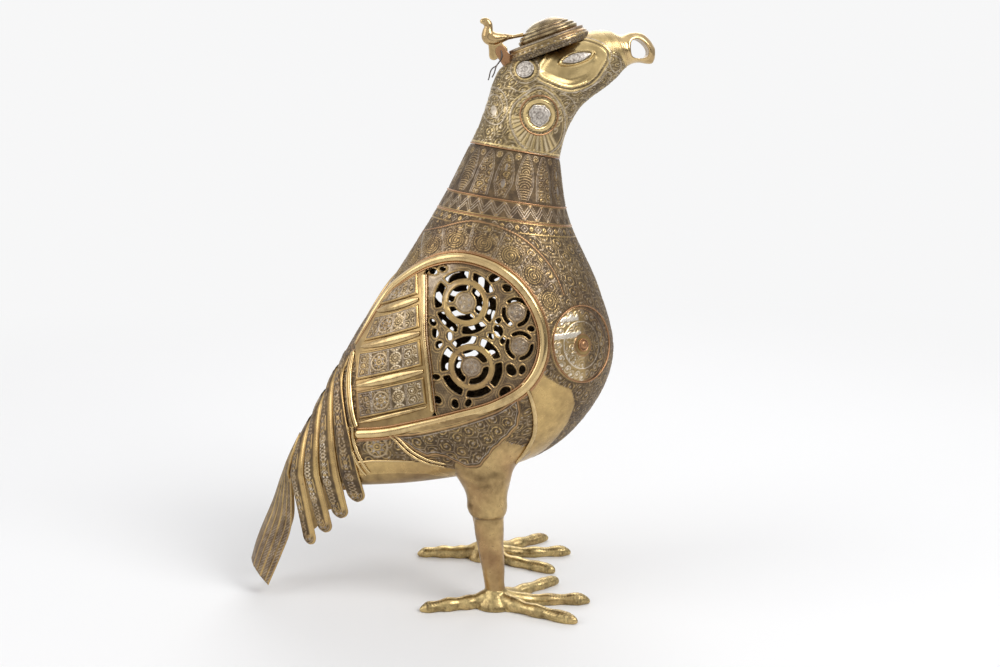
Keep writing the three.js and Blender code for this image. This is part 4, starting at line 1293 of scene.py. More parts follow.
@dataclass
class Skin:
    """A worked shell over a loft, cut into rings, with both flanks alike.

    Grids run down the loft by t and once round it by phi. Relief is worked out on the right half alone and
    turned over for the left. Heights push the points out along the loft's normals.
    """

    wardrobe: Wardrobe
    loft: FanLoft
    finish: Finish
    step: int = 4

    def half_grid(self, start: float, end: float, rows: int, columns: int) -> tuple[Array, Array]:
        """Spreads t and phi over the right half.

        Args:
            start, end: the range of t.
            rows: steps along.
            columns: steps round the whole shell.

        Returns:
            Grids of rows + 1 by columns / 2 + 1.
        """
        t = np.linspace(start, end, rows + 1)
        phi = np.linspace(0, math.pi, columns // 2 + 1)
        return np.meshgrid(t, phi, indexing="ij")

    def blocks(self, t: Array, phi: Array) -> Array:
        """The middles of the right half's blocks."""
        half = self.step // 2
        return self.loft.bare(t, phi)[half::self.step, half::self.step]

    def build(
        self, name: str, t: Array, phi: Array, relief: Relief, gaps: Array | None, cuts: Sequence[float],
        node: str,
    ) -> None:
        """Makes the shell's rings.

        Args:
            name: start of the rings' names.
            t, phi: the right half's grid.
            relief: its worked surface.
            gaps: which blocks of the right half are left out, or None.
            cuts: shares of the rows at which one ring ends and the next begins.
            node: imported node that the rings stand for.
        """
        rows, half = t.shape[0] - 1, t.shape[1] - 1
        base, out = self.loft.bare(t, phi), self.loft.normal(t, phi)
        for edge in (0, half):
            out[:, edge, 1] = 0
        out = unit(out)

        def whole(right: Array) -> Array:
            """The right half's points and the left half's."""
            return np.concatenate([right, mirrored(right[:, -2:0:-1])], axis=1)

        both, guide = whole(base + out * relief.height[..., None]), whole(out)
        normals = grid_normals(both, True)
        normals *= np.sign(np.mean(np.sum(normals * guide, axis=-1)))
        back = whole(base - out * WALL)[:: self.step, :: self.step]
        colors = relief.paint()
        colors = np.concatenate([colors, colors[:, -2:0:-1]], axis=1)
        blocks = (rows // self.step, 2 * half // self.step)
        keep = np.ones(blocks, bool) if gaps is None else ~np.concatenate([gaps, gaps[:, ::-1]], axis=1)
        ends = [0, *(round(cut * blocks[0]) for cut in cuts), blocks[0]]
        for k, (a, b) in enumerate(zip(ends[:-1], ends[1:])):
            s = slice(a * self.step, b * self.step + 1)
            outside = (normals[s], colors[s], self.step)
            ring = shell(f"{name}_{k + 1}", both[s], back[a:b + 1], keep[a:b], *outside)
            self.wardrobe.dress(ring, self.finish, node)


@dataclass
class Body:
    """The hollow body from the neck seam to the vent: bands, medallions, scrolls and smooth fields."""

    wardrobe: Wardrobe
    band: tuple[float, float] = (0.82, 1.1)
    neck_grid: tuple[int, int] = (96, 416)
    body_grid: tuple[int, int] = (420, 744)
    vent: float = 7.0
    arch: tuple = ((-34, 281), (-20, 287.5), (-6.7, 292.2), (16.8, 297.8), (41.6, 291.5), (58.7, 281.1),
                   (75.9, 261.6), (84, 243))
    medallion: tuple[float, float, float] = (98.3, 205.5, 30.0)
    wreath: tuple[float, float] = (19.0, 9.2)
    flower: tuple[float, float, float] = (-57.0, 129.5, 8.5)
    rings: int = 7
    smooth_field: tuple = (
        (56, 187), (63, 192.5), (69, 184.5), (79.7, 177.5), (89, 172.5), (92.6, 160), (88.5, 145.5),
        (81, 132.7), (72.4, 121), (60, 111), (44, 108), (48, 117), (56, 128), (60, 139), (61, 151),
        (57.5, 168.5),
    )

    def build(self) -> None:
        """The neck, then the body under its band."""
        self.neck()
        self.flank()

    def neck(self) -> None:
        """The neck above the zigzag band, and the band."""
        skin = Skin(self.wardrobe, BODY, Wardrobe.INLAID)
        t, phi = skin.half_grid(0.02, self.band[1], *self.neck_grid)
        drop = travel(BODY.bare(t, phi))
        upper, lower = self.band

        def drop_at(station: float) -> Array:
            """How far down each of the grid's lines a station lies."""
            return np.apply_along_axis(lambda d: np.interp(station, t[:, 0], d), 0, drop)

        at_band, wide = drop_at(upper), 15.0
        panel = panels(phi / TAU * 16 * wide, at_band - drop, wide, at_band[None].mean())
        v = drop_at((upper + lower) / 2)[None] - drop
        zig = zigzag(phi / TAU * 30 * 9.0, v * 11.0 / (drop[-1] - at_band)[None], 9.5, 9.0)
        skin.build("neck_skin", t, phi, panel.lay(t > upper, zig), None, (), "body_shell")

    def flank(self) -> None:
        """The body below the band, in rings, with a window on each side."""
        skin = Skin(self.wardrobe, BODY, Wardrobe.INLAID)
        t, phi = skin.half_grid(self.band[1], self.vent, *self.body_grid)
        block = skin.blocks(t, phi)
        gaps = inside(window_line(0.9), block[..., 0], block[..., 2])
        cuts = [k / self.rings for k in range(1, self.rings)]
        skin.build("body_skin", t, phi, self.relief(t, phi), gaps, cuts, "body_shell")

    def relief(self, t: Array, phi: Array) -> Relief:
        """Works out the body's ornament over its right half.

        Args:
            t, phi: the grid.

        Returns:
            The worked surface: vines, a band of knots, a wreath under the arch, the medallion, smooth fields,
            and swollen metal under the coverts.
        """
        p = BODY.bare(t, phi)
        x, z = p[..., 0], p[..., 2]
        across, drop = travel(p, 1), travel(p)
        work = scrolls(across[:, -1:] - across + 6.5, drop, 11.5)
        work = work.lay(smooth(172, 158, z) * smooth(20, 8, x), scrolls(x, z, 11.5, 3.0))
        work = work.lay(disc(drop, 9.6), knots(phi / TAU * 30 * 12, drop - 4.8, 8.6, 12.0))
        away, along = distance_to(BODY.side(*spline(FRAME_LINE, 70).T), p)
        outside = ~inside(spline(FRAME_LINE, 120), x, z)
        arch = spline(self.arch, 60)
        under = inside(np.vstack([arch, [(70, 200), (0, 200), (-60, 240)]]), x, z) & outside & (z > 225)
        pitch, radius = self.wreath
        at, off = wave(along, pitch), away - 13.6
        wreath = scrolls(along, away, 7.5, 8.0)
        wreath = wreath.lay(line(np.abs(wave(along + pitch / 2, pitch)) - 0.7, 0.25), plate_of(x))
        wreath = wreath.lay(disc(np.hypot(at, off), radius), whorl(at, off, radius, 1.7))
        near, _ = distance_to(BODY.side(*arch.T), p)
        work = work.lay(under, wreath).wires(near, ((0, 1.7, 0.02, Metal.DARK), (0, 0.5, 0.4, Metal.COPPER)))
        work = self.breast(work, p)
        field_ = np.asarray(self.smooth_field, float)
        edge, _ = distance_to(field_, np.stack([x, z], axis=-1), closed=True)
        plain = Relief.blank(x, 0.75, height=CUT * 0.6)
        work = work.lay(smooth(-0.6, 0.6, edge * np.where(inside(field_, x, z), 1, -1)), plain)
        at, off, radius = x - self.flower[0], z - self.flower[1], self.flower[2]
        work = work.lay(disc(np.hypot(at, off), radius), rosette(at, off, radius, 7))
        hem = z - np.interp(x, (-79, -71, -57, -41, -20, 0, 20), (124, 115.5, 118, 119.5, 119, 113, 104))
        work = work.lay(disc(hem, 0.0, 0.4) * (x < 20), plain.plus(ground=0.35 * smooth(-9.0, -11.0, hem)))
        work = work.wire(line(hem + 9.6, 0.5) * (x < 20), 0.3, Metal.GOLD)
        work = work.lay(~outside & (x < -15), Relief.blank(x, 0.35, height=0.5, ground=0.15))
        return work.wire(line(away - 5.2, 0.45) * outside, 0.3, Metal.COPPER)

    def breast(self, work: Relief, p: Array) -> Relief:
        """Lays the round medallion on each side of the breast.

        Args:
            work: the surface so far.
            p: its points.

        Returns:
            The surface with a ring of leaves round vines, a painted highlight over its rear half, with silver
            bars and a plain heart.
        """
        cx, cz, radius = self.medallion
        middle, _, side, over = BODY.axes(cx, cz)
        d = p - middle
        a, b = -(d @ side), d @ over
        near, r = np.linalg.norm(d, axis=-1), np.hypot(a, b)
        r = np.where(near < 1.6 * radius, r * near / np.maximum(r, 1e-6), 1e3)
        ring = leafage(np.arctan2(b, a) * 24, r - 0.78 * radius, 11.0, 9.5)
        fill = scrolls(a + 3, b, 9.0, 5.0).lay(smooth(0.58 * radius, 0.6 * radius, r), ring)
        # Painted highlight: the rear half of the medallion is made more silver, more polished and less dark.
        bright = smooth(-8, 2, a) * disc(r, 0.96 * radius)
        fill.silver = np.maximum(fill.silver, 0.4 * bright * (1 - fill.ground))
        fill.polish = np.maximum(fill.polish, bright)
        fill.ground = fill.ground * (1 - 0.6 * bright)
        bars = plate_of(a, 1.0, 1.25)
        spoke = np.maximum(line(b - 8.5, 1.9), line(b - 20.5, 1.7)) * (a > 1) * (r < 0.9 * radius) * (r > 8)
        fill = fill.lay(spoke, bars).lay(line(r - 0.59 * radius, 0.35), bars)
        work = work.lay(disc(r, radius), fill).lay(disc(r, 0.27 * radius), Relief.blank(a, 0.8, height=0.3))
        rings = ((0.92 * radius, 0.3, 0.4, Metal.COPPER), (0.27 * radius, 0.5, 0.4, Metal.COPPER))
        return work.wires(r, rings)


# The head

@dataclass
class Head:
    """The gilded head: its hollow shell, recessed eye field, pear-shaped loop, roundels and scrolls."""

    wardrobe: Wardrobe
    grid: tuple[int, int] = (192, 288)
    pear: tuple = (
        (67.4, 395.7), (80, 388), (87.9, 373.6), (86, 356), (72.2, 346.5), (54, 353), (45.7, 370.6),
        (48, 382), (56.9, 390.5),
    )
    recess: tuple = (
        (67.3, 407.4), (75.6, 401.5), (90, 397.2), (98.3, 398.7), (107.3, 403.1), (113.2, 410.4),
        (117.6, 420.7), (105.5, 427.9), (84.4, 428.6), (74, 419.8),
    )
    nape: tuple[float, float, float] = (35.1, 382.4, 11.0)
    ear: tuple[float, float, float] = (57.4, 409.4, 6.8)
    collar: tuple[float, float, float, float] = (77.1, 428.2, 19.6, 20.4)
    stop: tuple[float, float] = (46.0, 416.0)
    disc: tuple[float, float] = (67.5, 375.5)
    pear_wires: tuple = (
        (0.0, 0.5, 0.6, Metal.SILVER), (-1.9, 0.25, 0.35, Metal.GOLD), (1.8, 0.3, 0.35, Metal.GOLD),
    )
    field_wires: tuple = (
        (0.6, 0.7, 0.75, Metal.GOLD), (2.6, 0.35, 0.0, Metal.DARK), (3.6, 0.55, 0.5, Metal.GOLD),
        (4.9, 0.3, 0.4, Metal.SILVER),
    )
    loops: tuple = (
        ((84, 392), (92, 388), (97, 380), (92, 374), (87, 379), (91, 384)),
        ((100, 393), (108, 397), (115, 402), (120, 408), (124, 405), (121, 400)),
        ((119, 421), (122, 412), (126, 408), (131, 411), (129, 418), (124, 420)),
        ((47, 396), (53, 393), (60, 394), (64, 398)),
    )

    def build(self) -> None:
        """The shell, open under the crown's collar."""
        skin = Skin(self.wardrobe, HEAD, Wardrobe.HEAD)
        t, phi = skin.half_grid(0.02, HEAD.last, *self.grid)
        block = skin.blocks(t, phi)
        cx, cz, tilt, reach = self.collar
        a, up = leaned(block[..., 0] - cx, block[..., 2] - cz, math.radians(tilt))
        gaps = (np.hypot(a, block[..., 1] / 0.8) < reach) & (up > -14)
        skin.build("head_skin", t, phi, self.relief(t, phi), gaps, (), "head_shell")

    def relief(self, t: Array, phi: Array) -> Relief:
        """Works out the head's ornament over its right half.

        Args:
            t, phi: the grid.

        Returns:
            The worked surface: vines, brow, turned root of the beak, pear-shaped loop with its disc's bed,
            eye field, roundels, silver loops, and a place sunk for the foot of the hinge's post.
        """
        p = HEAD.bare(t, phi)
        x, z = p[..., 0], p[..., 2]
        flat = np.stack([x, z], axis=-1)
        across = travel(p, 1)
        work = scrolls(across[:, -1:] - across + 5.5, travel(p) + 3, 10.0)
        work.height *= 1.1

        def edge(outline: Sequence) -> Array:
            """Signed distance to a closed outline seen from the side, less than 0 inside."""
            path = spline(outline, 80, closed=True)
            return distance_to(path, flat, closed=True)[0] * np.where(inside(path, x, z), -1, 1)

        beaten = Relief.blank(x, 0.3, height=0.2 + 0.12 * np.sin(t * 40) * np.sin(phi * 34))
        work = work.lay(smooth(5.2, 6.6, t) * smooth(2.1, 1.2, phi), beaten)
        rings = Relief.blank(x, 0.35, height=0.25 + 0.22 * np.sin((t - 8) * TAU * 5),
                             ground=0.4 * line(wave((t - 8) * 5 + 0.75, 1.0), 0.12, 0.1))
        work = work.lay(smooth(8.05, 8.25, t), rings)
        pear = edge(self.pear)
        dx, dz = x - self.disc[0], z - self.disc[1]
        r, turn = np.hypot(dx, dz), np.arctan2(dz, dx)
        rays = worked(line(wave(turn * 14, 2.2), 0.8), 0.35 * disc(wave(turn * 14 + 2.2, 4.4), 0.8), 1.0)
        field_ = leafage(turn * 17, r - 15.5, 9.5, 8.5)
        field_ = field_.lay(disc(turn + math.pi / 2, 0.6, 0.1) * (r > 14), rays)
        work = work.lay(disc(pear, -1.0), field_).wires(pear, self.pear_wires)
        work = work.lay(disc(r, 12.6), Relief.blank(x, 0.85, height=0.75 * line(r - 10.6, 1.9, 1.2)))
        work = work.wires(r, ((12.4, 0.35, 0.2, Metal.DARK), (8.7, 0.4, 0.0, Metal.DARK)))
        recess, slant = edge(self.recess), z - 417.8 - 0.27 * (x - 95.7)
        swell = np.hypot((x - 95.7) / 13.5, slant / 5.4)
        hollow = -1.5 * smooth(0.0, 5.5, -recess) + 1.3 * smooth(1.25, 0.6, swell)
        work = work.lay(disc(recess, 0.0), Relief.blank(x, 0.6, height=hollow))
        work = work.wires(recess, self.field_wires)
        lid = np.hypot((x - 95.7) / 12.6, slant / 4.4)
        work = work.wire(line(lid - 1.0, 0.07, 0.04), 1.3, Metal.GOLD)
        work = work.wire(line(lid - 0.86, 0.04, 0.03), 0.9, Metal.DARK)
        work = self.roundels(work, x, z)
        for points in self.loops:
            work = work.wire(line(distance_to(spline(points, 40), flat)[0], 0.38), 0.5, Metal.SILVER)
        rest_x, rest_z = self.stop
        near = np.sqrt((x - rest_x) ** 2 + p[..., 1] ** 2 + (z - rest_z) ** 2)
        work.height = work.height * smooth(4.5, 9.0, near) - 0.25 * smooth(8.0, 4.5, near)
        return work.wire(line(t - 0.02 - 0.09, 0.035, 0.03), 0.45, Metal.GOLD)

    def roundels(self, work: Relief, x: Array, z: Array) -> Relief:
        """Lays the beds of the ear's roundel and of the almond on the nape.

        Args:
            work: the surface so far.
            x, z: its points, seen from the side.

        Returns:
            The surface: leaves between a gold and a silver line, and an almond of leaves, vines and a drop.
        """
        cx, cz, radius = self.ear
        dx, dz = x - cx, z - cz
        r = np.hypot(dx, dz)
        work = work.lay(disc(r, radius + 3.4), leafage(np.arctan2(dz, dx) * 9, r - radius - 1.8, 5.6, 3.0))
        work = work.wires(r - radius, ((0.5, 0.6, 0.6, Metal.GOLD), (3.4, 0.35, 0.45, Metal.SILVER)))
        cx, cz, radius = self.nape
        dx, dz = x - cx, z - cz
        r = np.hypot(dx * 1.25, dz * 0.8)
        drop = disc(np.hypot((dx + 0.6) * 1.5, (dz + 3.2) * 0.72), 2.9)
        work = work.lay(disc(r, radius), leafage(np.arctan2(dz, dx) * 8, r - 0.8 * radius, 6.3, 4.4))
        work = work.lay(disc(r, radius * 0.6), scrolls(dx + 2, dz, 5.5, 1.0).lay(drop, plate_of(x)))
        return work.wires(r, ((radius, 0.45, 0.55, Metal.SILVER), (0.62 * radius, 0.35, 0.5, Metal.SILVER)))


# Solid forms

def applied(made: bpy.types.Object) -> bpy.types.Object:
    """Applies an object's modifiers to its mesh.

    Args:
        made: the object.

    Returns:
        The same object.
    """
    graph = bpy.context.evaluated_depsgraph_get()
    mesh = bpy.data.meshes.new_from_object(made.evaluated_get(graph))
    made.modifiers.clear()
    made.data = mesh
    return made


def combined(base: bpy.types.Object, other: bpy.types.Object, operation: str) -> bpy.types.Object:
    """Cuts one closed object with another, or joins or overlaps them.

    Args:
        base: the object that stays.
        other: the one that is used up.
        operation: DIFFERENCE, UNION or INTERSECT.

    Returns:
        The base.
    """
    change = base.modifiers.new("cut", "BOOLEAN")
    change.operation, change.object, change.solver = operation, other, "EXACT"
    applied(base)
    bpy.data.objects.remove(other)
    return base


def melted(made: bpy.types.Object, cell: float, rounds: int, factor: float = 0.5) -> bpy.types.Object:
    """Runs overlapping closed forms into one skin and softens it.

    Args:
        made: the object.
        cell: size of the cells, in mm.
        rounds: times it is softened.
        factor: how much each time.

    Returns:
        The same object.
    """
    remesh = made.modifiers.new("skin", "REMESH")
    remesh.mode, remesh.voxel_size = "VOXEL", cell * MM
    soft = made.modifiers.new("soft", "SMOOTH")
    soft.factor, soft.iterations = factor, rounds
    applied(made)
    made.data.polygons.foreach_set("use_smooth", np.ones(len(made.data.polygons), bool))
    return made


def finished(made: bpy.types.Object, rule: Callable[[Array, Array], Relief]) -> bpy.types.Object:
    """Works an object's surface: moves its points along their normals and paints them.

    Args:
        made: the object.
        rule: gives the worked surface from the points, in mm, and their normals.

    Returns:
        The object.
    """
    mesh = made.data
    points = np.empty(len(mesh.vertices) * 3, np.float32)
    normals = np.empty_like(points)
    mesh.vertices.foreach_get("co", points)
    mesh.vertices.foreach_get("normal", normals)
    points, normals = points.reshape(-1, 3) / MM, normals.reshape(-1, 3)
    work = rule(points, normals)
    moved = (points + normals * work.height[:, None]) * MM
    mesh.vertices.foreach_set("co", moved.astype(np.float32).ravel())
    if "worked" in mesh.color_attributes:
        mesh.color_attributes.remove(mesh.color_attributes["worked"])
    layer = mesh.color_attributes.new("worked", "FLOAT_COLOR", "POINT")
    layer.data.foreach_set("color", work.paint().ravel())
    mesh.update()
    return made


def prism(outline: Array, near: float, far: float) -> Part:
    """Runs a flat outline across the middle plane.

    Args:
        outline: seen from the side.
        near, far: its two ends, in mm along y.

    Returns:
        The part.
    """
    rings = np.stack([
        np.stack([outline[:, 0], np.full(len(outline), y), outline[:, 1]], axis=1) for y in (near, far)
    ])
    return Part.tube(rings)


def ellipses(rows: Array, count: int) -> Array:
    """Spreads level ellipses.

    Args:
        rows: x, y, z and two half widths of each.
        count: points in a ring.

    Returns:
        The rings.
    """
    turn = circle(count)
    x, y, z, along, across = (rows[:, k, None] for k in range(5))
    return np.stack([x + along * np.cos(turn), y + across * np.sin(turn), z + 0 * turn], axis=-1)


# Fittings let into the body and the head

def inlay(metal: Metal, *shape: int) -> Relief:
    """Plain metal of one kind over a grid."""
    return Relief.blank(np.zeros(shape), 0.3).wire(np.ones(shape), 0.0, metal)


def limb(rows: Sequence[Sequence[float]], count: int, sides: int, polish: float = 0.7) -> Part:
    """A rounded form along the middle plane.

    Args:
        rows: stations of x, z, half height and half width.
        count: how many rings it has.
        sides: points in a ring.
        polish: how bright it is.

    Returns:
        The part: each ring is an ellipse that stands square to the line.
    """
    x, z, high, wide = spline(rows, count).T[:, :, None]
    way = unit(np.gradient(np.hstack([x, z]), axis=0))
    turn = circle(sides)
    lift = high * np.sin(turn)
    rings = np.stack([x - way[:, 1:] * lift, wide * np.cos(turn), z + way[:, :1] * lift], axis=-1)
    return Part.tube(rings, polish=polish)


@dataclass
class Fittings:
    """Copper rings round the neck, copper rims, almond eyes, and the discs and bosses set on each flank."""

    wardrobe: Wardrobe
    stations: tuple = (("seam", 0.0), ("band_upper", 0.82), ("band_lower", 1.1))
    ring: float = 0.62
    eye: tuple[float, float, float, float, float] = (95.7, 417.8, 11.6, 3.4, 0.27)
    ear: tuple[float, float, float, float] = (57.4, 409.4, 6.8, 1.2)
    neck: tuple[float, float, float, float] = (67.5, 375.5, 8.0, 1.2)
    breast: tuple[float, float, float, float] = (98.3, 205.5, 5.0, 2.6)
    rims: tuple[float, float] = (29.0, 14.5)
    boss_line: tuple = (
        (1.0, -1.2), (1.0, 0.3), (0.93, 0.55), (0.83, 0.45), (0.72, 0.28), (0.62, 0.5), (0.5, 0.82),
        (0.25, 0.97), (0.02, 1.0),
    )
    cap_line: tuple = (
        (0.01, 1.0), (0.3, 0.9), (0.6, 0.6), (0.85, 0.3), (0.97, 0.0), (0.97, 2.0), (0.5, 2.4), (0.01, 2.6),
    )

    def build(self) -> None:
        """Makes every fitting."""
        dress, pair = self.wardrobe.dress, self.wardrobe.pair
        for name, station in self.stations:
            dress(joined(f"ring_{name}", [self.hoop(station)]), Wardrobe.COPPER, f"copper_ring_{name}")
        pair("inset_eye", [self.almond()], Wardrobe.SILVER, "eye_inlay")
        pair("inset_ear", [self.button(*self.ear)], Wardrobe.SILVER, "ear_roundel")
        pair("inset_neck_disc", [self.button(*self.neck, 0.055)], Wardrobe.SILVER, "neck_disc")
        pair("inset_breast_boss", [self.boss()], Wardrobe.COPPER, "breast_boss")
        pair("inset_breast_rim", [self.rim(BODY, self.breast, self.rims[0])], Wardrobe.COPPER, "breast_rim")
        pair("inset_neck_rim", [self.rim(HEAD, self.neck, self.rims[1])], Wardrobe.CROWN, "neck_rim")
        dress(joined("vent_cap", [self.cap()]), Wardrobe.INLAID)

    def hoop(self, station: float) -> Part:
        """Lays a copper wire round the neck, just off the skin.

        Args:
            station: its place along the body.

        Returns:
            The part.
        """
        phi, t = circle(300), np.full(300, station)
        path = BODY.point(t, phi, self.ring * 0.2)
        beads = 1 + 0.05 * np.sin(phi * 90)
        work = inlay(Metal.COPPER, 300, 12)
        return swept(path, BODY.normal(t, phi), wire_profile(self.ring, 12), beads, beads, True, work)

    def button(self, x: float, z: float, radius: float, rise: float, ragged: float = 0.0) -> Part:
        """A low domed silver disc on the head.

        Args:
            x, z: its middle, seen from the side.
            radius: out to its edge.
            rise: its height in the middle.
            ragged: how far its edge is worn, as a share of the radius.

        Returns:
            The part: it rises by a sine over its radius, less two turned lines.
        """
        turn = circle(72)
        edge = 1 + ragged * (np.sin(3 * turn + 0.6) + 0.7 * np.sin(7 * turn) + 0.4 * np.sin(12 * turn + 1))
        share = np.concatenate([[1.0, 1.0], np.cos(np.linspace(0.12, math.pi / 2 - 0.03, 16))])
        dome = 0.4 + 0.6 * np.sin(np.linspace(0.12, math.pi / 2, 16))
        lift = np.concatenate([[-2.0, 0.35 * rise], rise * dome])
        lines = line(share - 0.84, 0.03, 0.02) + line(share - 0.3, 0.03, 0.02)
        rings = HEAD.dish(x, z, share[:, None] * radius * edge, (lift - 0.18 * lines)[:, None])
        worn = 0.7 * lines[:, None] + 0.5 * (share > 0.995)[:, None]
        return Part.tube(rings, inlay(Metal.SILVER, 18, 72).plus(ground=worn))

    def boss(self) -> Part:
        """Turns the breast's copper boss: a button with a groove round its domed middle.

        Returns:
            The part.
        """
        x, z, radius, rise = self.breast
        profile = spline(self.boss_line, 36)
        rings = BODY.dish(x, z, profile[:, :1] * radius + np.zeros(64), profile[:, 1:] * rise)
        groove = 0.8 * line(profile[:, :1] - 0.74, 0.06, 0.05)
        return Part.tube(rings, inlay(Metal.COPPER, 36, 64).plus(ground=groove))

    def rim(self, loft: FanLoft, place: Sequence[float], radius: float) -> Part:
        """Lays a half round copper rim round a place on the flank.

        Args:
            loft: the body or the head.
            place: its middle, seen from the side.
            radius: of its own middle line.

        Returns:
            The part.
        """
        ring = loft.dish(*place[:2], np.full(220, radius), np.zeros(1))
        t, phi = loft.locate(ring[:, 0], ring[:, 2])
        profile = round_profile(0.65, 0.8, 9, 0.5)
        return swept(loft.point(t, phi, 0.25), loft.normal(t, phi), profile, hoop=True,
                     relief=inlay(Metal.COPPER, 220, len(profile)))

    def almond(self) -> Part:
        """Shapes the silver eye: its half height falls off as one less the square of its length.

        Returns:
            The part.
        """
        x, z, long, high, slope = self.eye
        s, v = np.meshgrid(np.linspace(-0.985, 0.985, 60), np.linspace(-1, 1, 21), indexing="ij")
        a, b = s * long, v * high * (1 - s ** 2)
        t, phi = HEAD.locate(x + a * math.cos(slope) - b * math.sin(slope),
                             z + a * math.sin(slope) + b * math.cos(slope))
        swell = np.sqrt(np.clip(1 - v ** 2, 0, 1)) * np.clip(1 - s ** 2, 0, 1) ** 0.5
        pupil = line(np.hypot(a + 0.6, b * 1.15) - 2.6, 0.3)
        work = inlay(Metal.SILVER, *s.shape)
        work = work.plus(ground=0.55 * pupil).plus(ground=0.6 * (np.abs(v) > 0.9), height=-0.12 * pupil)
        return pillow(HEAD.point(t, phi, 0.3 + 0.95 * swell + work.height), HEAD.point(t, phi, -1.4), work)

    def cap(self) -> Part:
        """Shapes the round plate that closes the body behind the legs, a little dished.

        Returns:
            The part.
        """
        phi = circle(96)
        rim = BODY.bare(np.full(96, 6.99), phi)
        ahead = BODY.bare(np.full(96, 6.8), phi)
        middle, inward = rim.mean(axis=0), unit((ahead - rim).mean(axis=0))
        shares, depth = np.array(self.cap_line).T[..., None, None]
        return Part.tube(middle + (rim - middle) * shares + inward * depth, polish=0.3)


@dataclass
class Beak:
    """The beak: a loft that narrows from the face to the tip, with the almond hole through it."""

    wardrobe: Wardrobe
    sections: tuple = (
        (125, 438.8, 137.7, 412.4, 14.5), (133, 436.4, 143, 415, 11.5), (141, 438.3, 148, 415.6, 9.8),
        (148.5, 438, 153.5, 414.8, 8.2), (155, 433.5, 157.8, 415, 6.2), (159.7, 427, 159.7, 418, 3),
    )
    hole: tuple = ((140.3, 431.5), (145, 433), (151, 429.3), (154, 423.8), (152.2, 419.6), (141, 420.2))

    def build(self) -> None:
        """Cuts the hole, rounds the edges and works the rings at the root."""
        loft = FanLoft(self.sections)
        t, phi = np.meshgrid(np.linspace(0, loft.last, 70), circle(64), indexing="ij")
        made = joined("beak_cast", [Part.tube(loft.bare(t, phi))])
        cut = joined("cut_beak", [prism(spline(self.hole, 60, closed=True), -30, 30)])
        melted(combined(made, cut, "DIFFERENCE"), 0.42, 6)
        self.wardrobe.dress(finished(made, self.relief), Wardrobe.SMOOTH, "beak")

    def relief(self, p: Array, n: Array) -> Relief:
        """Works out the beak's surface.

        Args:
            p: its points.
            n: their normals.

        Returns:
            Fine rings round the root, a rounded bright rim to the hole, and a duller inside.
        """
        x, _, z = p.T
        away, _ = distance_to(spline(self.hole, 120, closed=True), np.stack([x, z], axis=1), closed=True)
        flank = smooth(0.3, 0.7, np.abs(n[:, 1]))
        run = x + 0.42 * (z - 425)
        root = smooth(136.5, 134, run)
        return Relief.blank(
            x, 0.55 + 0.35 * np.exp(-((away - 1.6) / 1.2) ** 2) * flank,
            height=0.5 * np.exp(-((away - 1.6) / 1.0) ** 2) * flank + 0.14 * np.sin(run * TAU / 1.5) * root,
            ground=(0.45 * line(wave(run + 0.4, 1.5), 0.22, 0.2) * root
                    + 0.35 * (smooth(0.6, 0.2, away) * (1 - flank))),
        )


